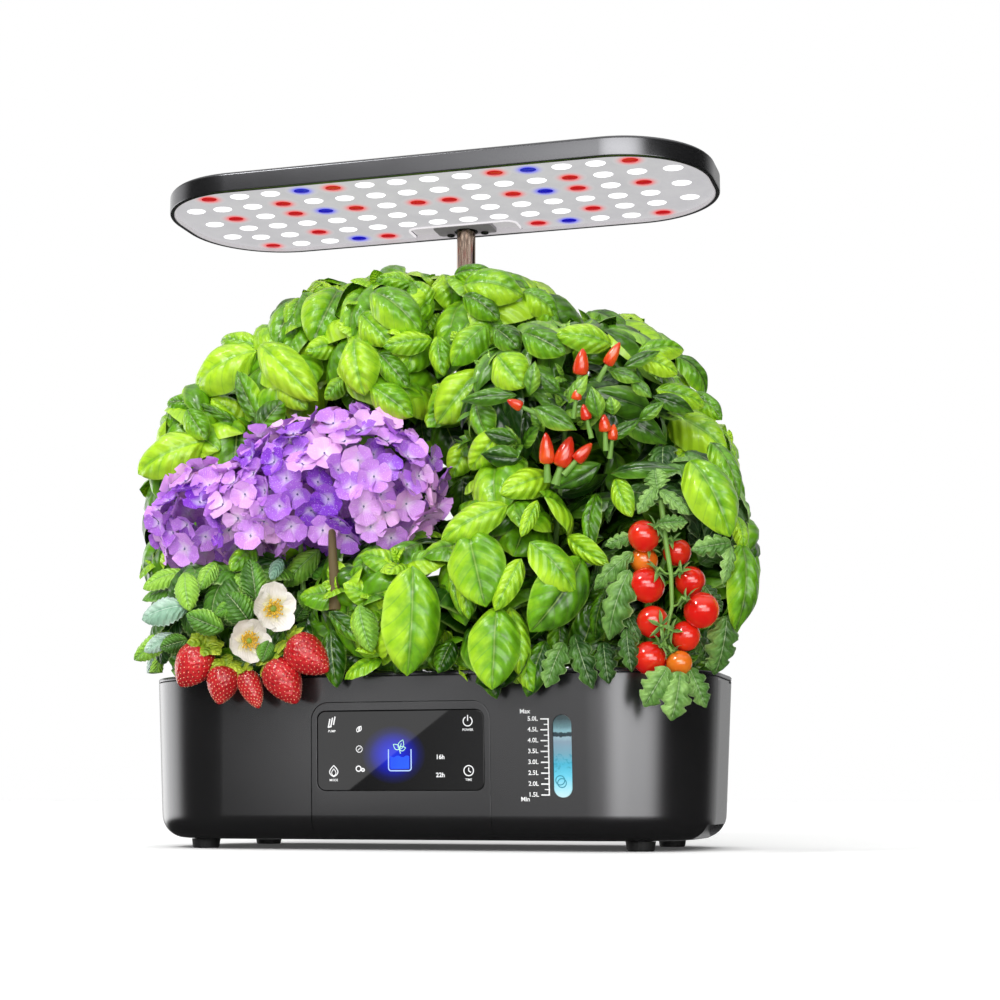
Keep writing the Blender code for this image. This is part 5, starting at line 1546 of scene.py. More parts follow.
@dataclass(frozen=True)
class View:
    """The photograph's camera, which turns its pixels into places."""

    place: Vector = Vector((0.3947, -1.2469, 0.0362))
    tilt: float = math.radians(98.984)
    turn: float = math.radians(15.79)
    lens: float = 66.97
    sensor: float = 36.0
    size: int = 1000

    def ray(self, pixel: tuple[float, float]) -> Vector:
        """Give the way from the camera through a pixel.

        Args:
            pixel: The pixel's column and row.

        Returns:
            A direction of length one.
        """
        half = self.size / 2
        focal = self.lens / self.sensor * self.size
        way = Vector(((pixel[0] - half) / focal, (half - pixel[1]) / focal, -1.0))
        return (Euler((self.tilt, 0.0, self.turn)).to_matrix() @ way).normalized()

    def at(self, pixel: tuple[float, float], y: float) -> Vector:
        """Give the place behind a pixel at a depth.

        Args:
            pixel: The pixel's column and row.
            y: The depth.

        Returns:
            The place.
        """
        way = self.ray(pixel)
        return self.place + way * ((y - self.place.y) / way.y)

    def on_plane(self, pixel: tuple[float, float], point: Vector, normal: Vector) -> Vector:
        """Give the place behind a pixel on a plane.

        Args:
            pixel: The pixel's column and row.
            point: A point of the plane.
            normal: The plane's normal.

        Returns:
            The place.
        """
        way = self.ray(pixel)
        return self.place + way * ((point - self.place).dot(normal) / way.dot(normal))

    def pixel(self, point: Vector) -> tuple[float, float]:
        """Give the pixel that shows a place.

        Args:
            point: The place.

        Returns:
            The pixel's column and row.
        """
        local = Euler((self.tilt, 0.0, self.turn)).to_matrix().transposed() @ (point - self.place)
        focal = self.lens / self.sensor * self.size
        return (self.size / 2 - focal * local.x / local.z, self.size / 2 + focal * local.y / local.z)

    def pixel_size(self, point: Vector) -> float:
        """Give the size of a pixel at a place, in metres."""
        return (point - self.place).length * self.sensor / (self.lens * self.size)


VIEW = View()


# The foliage's outline in the photograph, and the fruits and flowers that no leaf covers, in its pixels.
FOLIAGE_OUTLINE = (
    (137, 480), (150, 438), (168, 402), (195, 355), (222, 328), (262, 325), (292, 295), (330, 268),
    (372, 270), (400, 264), (446, 264), (470, 258), (500, 268), (528, 278), (558, 296), (600, 300),
    (642, 308), (660, 332), (686, 345), (708, 380), (724, 412), (740, 460), (752, 520), (765, 590),
    (754, 625), (740, 642), (738, 672), (706, 706), (650, 704), (612, 690), (545, 690), (478, 690),
    (462, 674), (430, 672), (404, 680), (384, 672), (350, 700), (330, 690), (176, 700), (134, 664),
    (142, 610), (138, 560), (134, 520))
SHOWN_FIRST = (
    (300, 480, 60), (390, 478, 60), (345, 468, 66), (190, 508, 46), (245, 500, 46), (270, 611, 24),
    (246, 642, 20), (195, 668, 26), (224, 684, 22), (254, 690, 20), (283, 684, 26), (308, 658, 28),
    (644, 536, 18), (650, 585, 20), (700, 605, 22), (655, 622, 18), (688, 636, 17), (650, 660, 20),
    (680, 663, 16), (676, 560, 18), (564, 450, 26), (588, 452, 14), (582, 362, 16), (614, 354, 14),
    (665, 690, 10))
# The places across and along a leaf that are tried against the photograph.
LEAF_PROBES = ((0.0, 0.0), (0.0, 0.5), (0.0, 1.0), (-1.0, 0.5), (1.0, 0.5), (-0.8, 0.25), (0.8, 0.25))


def within(pixel: tuple[float, float], outline: tuple[tuple[int, int], ...]) -> bool:
    """Say whether a pixel is inside an outline.

    Args:
        pixel: The pixel.
        outline: The outline's corners in order.

    Returns:
        True inside.
    """
    inside = False
    for (x0, y0), (x1, y1) in zip(outline, outline[1:] + outline[:1]):
        if (y0 > pixel[1]) != (y1 > pixel[1]) and pixel[0] < (x1 - x0) * (pixel[1] - y0) / (y1 - y0) + x0:
            inside = not inside
    return inside


def off_mast(point: Vector) -> bool:
    """Say whether a leaf's point keeps its distance from the mast."""
    return math.hypot(point.x, point.y - MAST_Y) > MAST_CLEARANCE


def has_room(point: Vector) -> bool:
    """Say whether a leaf's point is under the lamp, off the mast and within the foliage's own width."""
    return (FOLIAGE_REACH[0] < point.x < FOLIAGE_REACH[1] and abs(point.y) < FOLIAGE_REACH[2]
            and point.z < FOLIAGE_TOP and off_mast(point))


def fits_photo(leaf: Leaf) -> bool:
    """Say whether a leaf has room, stays in the foliage's outline and off the fruits and flowers.

    Args:
        leaf: The leaf.

    Returns:
        True where it fits.
    """
    for across, along in LEAF_PROBES:
        point = leaf.point(across, along)
        if not has_room(point):
            return False
        pixel = VIEW.pixel(point)
        if not within(pixel, FOLIAGE_OUTLINE):
            return False
        if point.y < -0.02 and any(math.hypot(pixel[0] - x, pixel[1] - y) < r for x, y, r in SHOWN_FIRST):
            return False
    return all(off_mast(leaf.point(step % 7 / 3 - 1, step // 7 / 8)) for step in range(63))


@dataclass(frozen=True)
class Seen:
    """A leaf as the photograph shows it: its foot, tip and width in pixels, and a depth where one is set."""

    foot: tuple[int, int]
    tip: tuple[int, int]
    width: int
    # How light the leaf is painted: its own tone, with the light and shade that fall on it there painted in.
    tint: float = 0.6
    arch: float = 0.55
    lift: float = 0.004
    depth: float = 0.0


@dataclass
class Crown:
    """The space that one plant's leaves fill, taken from the plant's solid."""

    node: str
    tree: BVHTree = field(init=False)
    middle: Vector = field(init=False)
    area: float = field(init=False)

    def __post_init__(self) -> None:
        """Read the plant's solid."""
        bm = bmesh.new()
        bm.from_mesh(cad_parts[self.node].data)
        bmesh.ops.remove_doubles(bm, verts=bm.verts[:], dist=1e-6)
        self.tree = BVHTree.FromBMesh(bm)
        self.area = sum(face.calc_area() for face in bm.faces)
        top = max(v.co.z for v in bm.verts)
        upper = [v.co for v in bm.verts if v.co.z > top - 0.12]
        self.middle = sum(upper, Vector()) / len(upper)
        bm.free()

    def holds(self, point: Vector) -> bool:
        """Say whether a point is inside the crown."""
        near, normal, _, _ = self.tree.find_nearest(point)
        return (point - near).dot(normal) < 0

    def skin_points(self, spacing: float, others: list["Crown"],
                    taken: list[Vector]) -> list[tuple[Vector, Vector]]:
        """Spread points over the part of the crown that shows.

        Args:
            spacing: The distance between points.
            others: The neighbouring crowns.
            taken: Points that are in use already; the new ones are added.

        Returns:
            Each point and the way out from it.
        """
        found = []
        count = int(self.area / (spacing * spacing) * 3.0)
        for number in range(count):
            out = spiral_way(number, 1 - 2 * (number + 0.5) / count)
            place, normal, _, _ = self.tree.ray_cast(self.middle + out * 0.6, -out)
            if place is None:
                continue
            if any((place - used).length < spacing for used in taken):
                continue
            if any(other.holds(place + normal * 0.004) for other in others):
                continue
            taken.append(place)
            found.append((place, normal))
        return found


@dataclass
class Canopy:
    """All the crowns together, as the camera sees them."""

    crowns: dict[str, Crown]

    def touch(self, pixel: tuple[float, float]) -> tuple[Vector, Vector]:
        """Find where a pixel's ray meets the leaves, or passes nearest to them.

        Args:
            pixel: The pixel's column and row.

        Returns:
            The place and the way out from it.
        """
        way = VIEW.ray(pixel)
        hits = []
        for crown in self.crowns.values():
            place, normal, _, distance = crown.tree.ray_cast(VIEW.place, way)
            if place is not None:
                hits.append((distance, place, normal))
        if hits:
            _, place, normal = min(hits, key=lambda hit: hit[0])
            return place, normal
        nearest = []
        for step in range(25):
            point = VIEW.at(pixel, -0.110 + step * 0.008)
            for crown in self.crowns.values():
                near, normal, _, distance = crown.tree.find_nearest(point)
                nearest.append((distance, point, normal))
        _, place, normal = min(nearest, key=lambda hit: hit[0])
        return place, normal

    def leaf(self, seen: Seen, shape: LeafShape, rng: random.Random) -> Leaf:
        """Make the leaf that the photograph shows, lying on the crown behind it.

        Args:
            seen: The leaf in the photograph.
            shape: Its outline.
            rng: Random numbers for its small twists.

        Returns:
            The leaf.
        """
        middle = ((seen.foot[0] + seen.tip[0]) / 2, (seen.foot[1] + seen.tip[1]) / 2)
        place, out = self.touch(middle)
        if seen.depth:
            place, out = VIEW.at(middle, seen.depth), Vector((0, -1, 0))
        back = -VIEW.ray(middle)
        facing = (out + back * 0.9 + Vector((0, 0, 0.15))).normalized()
        place = place + back * seen.lift
        foot = VIEW.on_plane(seen.foot, place, facing) - facing * 0.003
        tip = VIEW.on_plane(seen.tip, place, facing)
        width = seen.width * VIEW.pixel_size(place)
        return Leaf(foot, tip, facing, width, shape, seen.arch, rng.uniform(0.16, 0.26),
                    rng.uniform(0.11, 0.16), 0.035, seen.tint, rng.uniform(-0.5, 0.5),
                    columns=12, rows=28 if shape.value[2] else 16)


@dataclass
class Habit:
    """How a kind of plant carries its leaves."""

    shape: LeafShape
    skin: Finish
    slot: str
    length: float
    slim: float
    spacing: float
    shoots: float = 0.2
    bright: float = 0.55


BASIL = Habit(LeafShape.OVATE, BASIL_SKIN, "basil_leaf", 0.050, 0.72, 0.0225)
STRAWBERRY = Habit(LeafShape.SERRATE, STRAWBERRY_SKIN, "strawberry_leaf", 0.036, 0.78, 0.021, 0.1, 0.45)
HYDRANGEA = Habit(LeafShape.SERRATE, HYDRANGEA_SKIN, "basil_leaf", 0.042, 0.60, 0.026, 0.1, 0.5)
CHILLI = Habit(LeafShape.LANCE, CHILLI_SKIN, "chilli_leaf", 0.042, 0.46, 0.019, 0.35, 0.42)
TOMATO = Habit(LeafShape.LOBED, TOMATO_SKIN, "tomato_leaf", 0.042, 0.62, 0.022, 0.1, 0.4)

BASIL_SEEN = (
    Seen((339, 288), (312, 344), 50, 0.52, 0.7, 0.010), Seen((372, 290), (421, 332), 44, 0.50, 0.8, 0.012),
    Seen((360, 312), (392, 345), 36, 0.66, 0.5), Seen((417, 284), (376, 280), 20, 0.62, 0.9, 0.002),
    Seen((428, 306), (412, 282), 34, 0.55, 0.6, 0.004), Seen((254, 350), (197, 392), 54, 0.98, 0.8, 0.012),
    Seen((259, 343), (318, 401), 40, 0.92, 0.6, 0.012), Seen((353, 338), (365, 396), 44, 0.86, 0.6, 0.014),
    Seen((379, 352), (409, 388), 26, 0.36, 0.4, 0.006), Seen((432, 338), (383, 347), 26, 0.72, 0.5, 0.012),
    Seen((371, 385), (413, 417), 34, 0.62, 0.6, 0.006), Seen((259, 422), (237, 371), 26, 0.34, 0.3, 0.016),
    Seen((249, 427), (211, 398), 36, 0.98, 0.5, 0.010), Seen((250, 431), (200, 403), 13, 0.30, 0.3, 0.014),
    Seen((197, 402), (167, 404), 22, 0.42, 0.6, 0.004), Seen((186, 408), (207, 440), 26, 0.50, 0.5, 0.008),
    Seen((203, 440), (138, 474), 46, 0.96, 0.7, 0.010), Seen((259, 346), (221, 341), 24, 0.70, 0.7, 0.002),
    Seen((341, 343), (305, 352), 26, 0.74, 0.6, 0.012), Seen((279, 374), (307, 410), 32, 0.74, 0.6, 0.006),
    Seen((343, 377), (325, 400), 22, 0.60, 0.5, 0.004), Seen((446, 273), (450, 313), 34, 0.62, 0.8, 0.012),
    Seen((453, 274), (497, 276), 22, 0.46, 0.9, 0.002), Seen((464, 283), (523, 296), 44, 0.66, 0.9, 0.006),
    Seen((464, 293), (500, 320), 28, 0.28, 0.6, 0.006), Seen((524, 290), (557, 317), 32, 0.56, 0.8, 0.006),
    Seen((612, 343), (556, 335), 32, 0.76, 0.7, 0.010), Seen((522, 331), (566, 354), 34, 0.30, 0.6, 0.010),
    Seen((494, 326), (519, 348), 28, 0.24, 0.5, 0.010), Seen((486, 324), (452, 366), 38, 0.62, 0.7, 0.012),
    Seen((437, 334), (444, 376), 24, 0.64, 0.6, 0.008), Seen((496, 354), (524, 388), 42, 0.80, 0.6, 0.008),
    Seen((481, 371), (437, 424), 48, 0.82, 0.7, 0.014), Seen((638, 352), (684, 350), 26, 0.62, 0.7, 0.006),
    Seen((640, 356), (678, 374), 24, 0.86, 0.5, 0.006), Seen((679, 355), (705, 395), 32, 0.30, 0.8, 0.004),
    Seen((658, 388), (705, 406), 26, 0.66, 0.6, 0.008), Seen((668, 413), (727, 454), 50, 0.84, 0.7, 0.008),
    Seen((691, 459), (730, 537), 52, 0.66, 0.8, 0.012), Seen((738, 515), (743, 551), 18, 0.80, 0.6, 0.002),
    Seen((743, 543), (735, 630), 36, 0.42, 0.8, 0.004), Seen((553, 474), (500, 494), 34, 0.92, 0.6, 0.010),
    Seen((507, 504), (441, 540), 36, 0.84, 0.6, 0.016), Seen((469, 528), (486, 607), 60, 0.58, 0.7, 0.012),
    Seen((521, 558), (495, 611), 26, 0.82, 0.5, 0.012), Seen((538, 499), (521, 537), 16, 0.80, 0.4, 0.014),
    Seen((531, 541), (575, 592), 40, 0.66, 0.7, 0.022), Seen((583, 558), (530, 632), 56, 0.34, 0.8, 0.012),
    Seen((592, 490), (567, 523), 26, 0.26, 0.5, 0.010), Seen((594, 492), (591, 551), 24, 0.32, 0.5, 0.008),
    Seen((565, 536), (609, 564), 24, 0.86, 0.6, 0.018), Seen((614, 477), (632, 517), 24, 0.74, 0.6, 0.008),
    Seen((497, 606), (492, 690), 54, 0.56, 0.6, 0.010), Seen((511, 606), (522, 678), 28, 0.76, 0.6, 0.006),
    Seen((413, 566), (407, 676), 60, 0.62, 0.6, 0.014), Seen((451, 562), (463, 616), 18, 0.50, 0.5, 0.002),
    Seen((463, 568), (469, 619), 20, 0.60, 0.4, 0.004), Seen((470, 440), (452, 478), 30, 0.78, 0.6, 0.006),
    Seen((455, 384), (430, 420), 28, 0.44, 0.5, 0.004), Seen((474, 400), (490, 440), 30, 0.40, 0.5, 0.004),
    Seen((690, 392), (722, 420), 26, 0.44, 0.7, 0.002), Seen((500, 430), (470, 470), 30, 0.86, 0.6, 0.010),
    Seen((712, 440), (738, 500), 28, 0.40, 0.7, 0.001), Seen((255, 545), (231, 571), 26, 0.50, 0.5, 0.012),
    Seen((327, 573), (308, 590), 18, 0.50, 0.5, 0.008), Seen((346, 641), (362, 697), 26, 0.10, 0.5, 0.010),
    Seen((327, 612), (366, 642), 20, 0.20, 0.4, 0.012), Seen((540, 300), (556, 328), 26, 0.44, 0.5, 0.006),
    Seen((300, 296), (290, 330), 26, 0.60, 0.6, 0.002), Seen((468, 560), (448, 548), 20, 0.62, 0.5, 0.004),
    Seen((588, 632), (598, 674), 26, 0.10, 0.5, 0.002), Seen((604, 590), (596, 640), 26, 0.14, 0.5, 0.002),
    Seen((576, 640), (584, 676), 22, 0.16, 0.5, 0.002), Seen((560, 620), (556, 668), 24, 0.22, 0.5, 0.001),
    Seen((545, 640), (527, 697), 28, 0.12, 0.5, depth=-0.103),
    Seen((516, 640), (533, 692), 26, 0.62, 0.5, depth=-0.106),
    Seen((479, 640), (497, 699), 26, 0.10, 0.5, depth=-0.101),
    Seen((330, 628), (337, 688), 26, 0.08, 0.5, depth=-0.100),
    Seen((452, 640), (438, 673), 24, 0.14, 0.5, depth=-0.099),
    Seen((256, 432), (284, 400), 30, 0.22, 0.5, depth=-0.040),
    Seen((346, 556), (386, 546), 24, 0.14, 0.5, depth=-0.045),
    Seen((584, 604), (600, 572), 24, 0.10, 0.5, depth=-0.060),
)
STRAWBERRY_SEEN = (
    Seen((256, 598), (250, 559), 28, 0.35), Seen((223, 630), (186, 614), 28, 0.45, lift=0.008),
    Seen((250, 622), (226, 593), 36, 0.30), Seen((294, 629), (327, 636), 24, 0.45, lift=0.010),
    Seen((294, 621), (308, 603), 18, 0.20), Seen((186, 640), (160, 648), 22, 0.30),
    Seen((172, 633), (134, 660), 24, 0.85), Seen((186, 570), (143, 589), 28, 1.0),
    Seen((184, 571), (190, 611), 28, 1.0, lift=0.008), Seen((318, 550), (284, 587), 28, 0.75),
    Seen((358, 605), (372, 652), 30, 0.80, lift=0.010), Seen((215, 560), (200, 590), 22, 0.8),
    Seen((240, 600), (215, 615), 20, 0.5, lift=0.006), Seen((300, 590), (318, 612), 20, 0.35, lift=0.006),
    Seen((160, 655), (152, 688), 14, 0.9), Seen((270, 640), (262, 662), 22, 0.3, lift=0.006),
)
PALE_SEEN = (
    Seen((187, 604), (142, 620), 32, 0.60, 0.7, 0.008), Seen((172, 634), (144, 652), 18, 0.75, 0.6, 0.006),
    Seen((152, 652), (151, 684), 10, 0.90, 0.5, 0.004), Seen((282, 556), (271, 580), 15, 0.40, 0.5, 0.008),
    Seen((300, 566), (286, 588), 14, 0.80, 0.5, 0.008),
)
CHILLI_SEEN = (
    Seen((568, 402), (588, 374), 16, 0.75, lift=0.014), Seen((599, 419), (591, 386), 20, 0.62, lift=0.014),
    Seen((614, 415), (610, 396), 18, 0.66, lift=0.012), Seen((529, 394), (535, 361), 18, 0.60, lift=0.010),
    Seen((610, 369), (642, 382), 16, 0.50, lift=0.010), Seen((624, 367), (660, 351), 14, 0.35, lift=0.010),
    Seen((534, 407), (577, 430), 24, 0.45, lift=0.012), Seen((516, 394), (461, 401), 18, 0.40, lift=0.008),
    Seen((521, 459), (481, 454), 24, 0.10, lift=0.012), Seen((601, 465), (553, 488), 24, 0.30, lift=0.014),
    Seen((609, 472), (681, 470), 20, 0.20, lift=0.010), Seen((632, 378), (652, 398), 16, 0.55, lift=0.010),
    Seen((640, 420), (664, 402), 14, 0.50, lift=0.010), Seen((560, 392), (540, 376), 16, 0.35, lift=0.010),
    Seen((605, 440), (640, 420), 14, 0.30, lift=0.010), Seen((655, 396), (694, 412), 18, 0.25, lift=0.008),
    Seen((516, 440), (484, 432), 18, 0.25, lift=0.006), Seen((598, 350), (574, 332), 16, 0.30, lift=0.006),
)
TOMATO_SEEN = (
    Seen((628, 570), (609, 640), 38, 0.55, lift=0.010), Seen((633, 535), (605, 546), 18, 0.70, lift=0.006),
    Seen((631, 552), (594, 590), 24, 0.65, lift=0.006), Seen((656, 485), (638, 514), 20, 0.80, lift=0.010),
    Seen((657, 487), (655, 468), 30, 0.85, lift=0.012), Seen((660, 489), (690, 515), 18, 0.75, lift=0.010),
    Seen((658, 523), (688, 522), 20, 0.65, lift=0.008), Seen((732, 542), (691, 550), 26, 0.60, lift=0.012),
    Seen((732, 544), (723, 584), 18, 0.70, lift=0.014), Seen((728, 618), (714, 675), 36, 0.45, lift=0.010),
    Seen((667, 668), (644, 707), 36, 0.70, lift=0.010), Seen((681, 672), (671, 721), 38, 0.72, lift=0.012),
    Seen((690, 668), (706, 708), 26, 0.55, lift=0.008), Seen((563, 642), (546, 688), 30, 0.62, depth=-0.106),
    Seen((574, 634), (593, 689), 28, 0.20, depth=-0.102),
    Seen((603, 642), (609, 684), 26, 0.16, depth=-0.101),
    Seen((626, 628), (632, 672), 24, 0.20, lift=0.006), Seen((705, 585), (722, 612), 18, 0.2, lift=0.004),
    Seen((620, 600), (640, 640), 20, 0.2, lift=0.002), Seen((700, 640), (712, 668), 20, 0.3, lift=0.006),
)


@dataclass
class Plant:
    """One plant in its pod: the leaves over its crown, its shoots and its stem."""

    node: str
    pod: tuple[float, float]
    habit: Habit
    seed: int
    seen: tuple[Seen, ...] = ()

    def shoot(self, bm: bmesh.types.BMesh, place: Vector, out: Vector, rng: random.Random) -> None:
        """Add the small crossed leaves at a shoot's tip.

        Args:
            bm: The plant's bmesh.
            place: The shoot's tip.
            out: The way out of the crown there.
            rng: The plant's own random numbers.
        """
        axis = (out + Vector((0, 0, 0.6))).normalized()
        first = axis.orthogonal().normalized()
        spin = rng.uniform(0, math.pi)
        for level in range(3):
            for half in range(2):
                radial = Matrix.Rotation(spin + level * math.pi / 2 + half * math.pi, 3, axis) @ first
                opening = (1.15, 0.85, 0.45)[level] + rng.uniform(-0.15, 0.15)
                length = self.habit.length * (0.62, 0.46, 0.28)[level] * rng.uniform(0.85, 1.15)
                ahead = axis * math.cos(opening) + radial * math.sin(opening)
                foot = place - axis * (0.008 - 0.003 * level)
                leaf = Leaf(foot, foot + ahead * length, (axis - radial * 0.2).normalized(),
                            length * self.habit.slim, self.habit.shape, rng.uniform(0.3, 0.7),
                            0.14, 0.12, 0.02,
                            min(1.0, self.habit.bright + 0.12 * level + rng.uniform(0.0, 0.2)),
                            rng.uniform(-1, 1))
                if fits_photo(leaf):
                    add_leaf(bm, leaf)

    def cover(self, bm: bmesh.types.BMesh, place: Vector, out: Vector, rng: random.Random,
              depth: float) -> None:
        """Add one leaf that lies along the crown, its tip drooping.

        Args:
            bm: The plant's bmesh.
            place: The crown's skin there.
            out: The way out of the crown.
            rng: The plant's own random numbers.
            depth: How deep under the skin it lies.
        """
        down = Vector((0, 0, -1)) + out * out.z
        side = out.cross(out.orthogonal()).normalized()
        for attempt in range(5):
            along = (down * rng.uniform(0.1, 1.0) + side * rng.uniform(-1, 1)
                     + side.cross(out) * rng.uniform(-1, 1))
            along = (along - out * along.dot(out)).normalized()
            length = self.habit.length * rng.uniform(0.75, 1.25) * (1 - 0.09 * attempt)
            sink = depth + 0.004 * attempt
            foot = place - out * (sink + 0.010) - along * length * 0.5
            tip = place - out * (sink + rng.uniform(-0.004, 0.006)) + along * length * 0.5
            facing = (out + Vector((0, 0, 0.35)) + along * rng.uniform(-0.3, 0.3)
                      + along.cross(out) * rng.uniform(-0.4, 0.4)).normalized()
            # Painted light and shade: leaves that face up are painted lighter, and leaves deeper in the crown
            # or low down darker.
            shade = self.habit.bright + 0.25 * out.z - depth * 16 + rng.uniform(-0.34, 0.34)
            shade -= 2.2 * max(0.0, 0.25 - place.z)
            leaf = Leaf(foot, tip, facing, length * self.habit.slim * rng.uniform(0.9, 1.1), self.habit.shape,
                        rng.uniform(0.4, 0.9), rng.uniform(0.12, 0.24), rng.uniform(0.08, 0.14),
                        rng.uniform(0.0, 0.03), min(max(shade, 0.0), 1.0), rng.uniform(-1, 1),
                        columns=8, rows=19 if self.habit.shape.value[2] else 9)
            if fits_photo(leaf):
                add_leaf(bm, leaf)
                return

    def lower_leaves(self, bm: bmesh.types.BMesh, line: list[Vector], rng: random.Random) -> None:
        """Add leaves low on the stem, painted dark as the shade inside the crown.

        Args:
            bm: The plant's bmesh.
            line: The stem from its foot to the crown's middle.
            rng: The plant's own random numbers.
        """
        for level in range(7):
            place = line[0].lerp(line[-1], 0.10 + 0.11 * level)
            for spoke in range(4):
                turn = level * 0.8 + spoke * math.pi / 2 + rng.uniform(-0.3, 0.3)
                reach = Vector((math.cos(turn), math.sin(turn) * 0.7, rng.uniform(0.0, 0.5))).normalized()
                length = self.habit.length * rng.uniform(0.85, 1.2)
                foot = place + reach * 0.006
                facing = Vector((reach.x * 0.5, reach.y * 0.5 - 0.5, 0.8)).normalized()
                leaf = Leaf(foot, foot + reach * length, facing, length * self.habit.slim, self.habit.shape,
                            rng.uniform(0.4, 0.8), 0.16, 0.12, 0.02, rng.uniform(0.0, 0.30),
                            rng.uniform(-1, 1), columns=6, rows=16 if self.habit.shape.value[2] else 8)
                if fits_photo(leaf):
                    add_leaf(bm, leaf)

    def build(self, canopy: Canopy, taken: list[Vector]) -> None:
        """Make the plant's leaves and its stem.

        Args:
            canopy: Every plant's crown.
            taken: Places of the leaves made so far.
        """
        rng = random.Random(self.seed)
        crown = canopy.crowns[self.node]
        others = [other for name, other in canopy.crowns.items() if name != self.node]
        bm = new_plant_mesh()
        for seen in self.seen:
            add_leaf(bm, canopy.leaf(seen, self.habit.shape, rng))
        for place, out in crown.skin_points(self.habit.spacing, others, taken):
            if out.z < -0.7 and rng.random() < 0.5:
                continue
            if self.habit is HYDRANGEA and out.z > -0.25:
                continue
            self.cover(bm, place, out, rng, 0.006)
            if rng.random() < 0.8:
                self.cover(bm, place, out, rng, 0.024)
            if rng.random() < self.habit.shoots:
                self.shoot(bm, place - out * 0.006, out, rng)
        foot = Vector((*self.pod, 0.1172))
        line = [foot.lerp(crown.middle, t) for t in (0.0, 0.3, 0.6, 1.0)]
        self.lower_leaves(bm, line, rng)
        leaves = new_object(f"{self.node}_leaves", bm, smooth=True)
        put(leaves, "deck", self.habit.slot, self.habit.skin, self.node)
        stem = bmesh.new()
        add_stalk(stem, line, 0.0028, 10)
        branches = new_object(f"{self.node}_stem", stem)
        put(polish(branches), "deck", self.habit.slot, STEM_SKIN)


@dataclass
class HydrangeaHeads:
    """The hydrangea's three domed heads, built up from four-petalled florets."""

    heads: tuple = (((-0.057, -0.066, 0.2415), (0.074, 0.050, 0.052), 156),
                    ((-0.112, -0.076, 0.2300), (0.032, 0.033, 0.035), 48),
                    ((-0.148, -0.072, 0.2250), (0.034, 0.034, 0.036), 52))
    stem: tuple = ((332, 536), (333, 560), (335, 585), (335, 610))

    def build(self) -> None:
        """Make every floret of the heads, and the woody stem."""
        rng = random.Random(5)
        bm = new_plant_mesh()
        eyes = bmesh.new()
        for middle, radii, count in self.heads:
            for number in range(count):
                out = spiral_way(number, 1 - 1.75 * (number + 0.5) / count)
                push = rng.uniform(0.84, 1.03)
                place = Vector(middle) + Vector([out[k] * radii[k] * push for k in range(3)])
                normal = Vector([out[k] / radii[k] for k in range(3)]).normalized()
                normal = (normal + Vector([rng.uniform(-0.6, 0.6) for _ in range(3)])).normalized()
                patch = math.sin(place.x * 61 + 1.3) * math.cos(place.z * 83) + 0.6 * math.sin(place.y * 70)
                tint = min(max(0.56 + 0.26 * patch + rng.uniform(-0.28, 0.28), 0.0), 1.0)
                self.floret(bm, eyes, place, normal, rng, tint)
        put(new_object("hydrangea_florets", bm, smooth=True), "deck", "hydrangea_petal", HYDRANGEA_PETAL)
        put(polish(new_object("hydrangea_floret_eyes", eyes)), "deck", "hydrangea_petal", EYE_SKIN)
        woody = bmesh.new()
        line = [VIEW.at(pixel, -0.104) for pixel in self.stem]
        add_stalk(woody, line[::-1] + [Vector(self.heads[0][0])], 0.0042, 10)
        put_grown("hydrangea_woody_stem", woody, "hydrangea_petal", WOODY_SKIN)

    def floret(self, bm: bmesh.types.BMesh, eyes: bmesh.types.BMesh, place: Vector, normal: Vector,
               rng: random.Random, tint: float) -> None:
        """Add one floret of four cupped petals round an eye.

        Args:
            bm: The petals' bmesh.
            eyes: The eyes' bmesh.
            place: The floret's middle.
            normal: The way it faces.
            rng: Random numbers.
            tint: Its colour, from violet to pale lilac.
        """
        first = normal.orthogonal().normalized()
        spin = rng.uniform(0, math.pi / 2)
        size = rng.uniform(0.0105, 0.0135)
        for petal in range(4):
            radial = Matrix.Rotation(spin + petal * math.pi / 2, 3, normal) @ first
            ahead = (radial + normal * rng.uniform(0.05, 0.55)).normalized()
            foot = place + normal * (0.0009 * (petal % 2))
            add_leaf(bm, Leaf(foot, foot + ahead * size, normal, size * rng.uniform(1.0, 1.2),
                              LeafShape.PETAL, rng.uniform(-0.5, -0.1), -0.12, 0.08, 0.07,
                              min(max(tint + rng.uniform(-0.12, 0.12), 0.0), 1.0),
                              rng.uniform(-1, 1), columns=5, rows=6))
        eye = Matrix.Translation(place + normal * 0.0012)
        bmesh.ops.create_icosphere(eyes, subdivisions=1, radius=0.0008, matrix=eye)


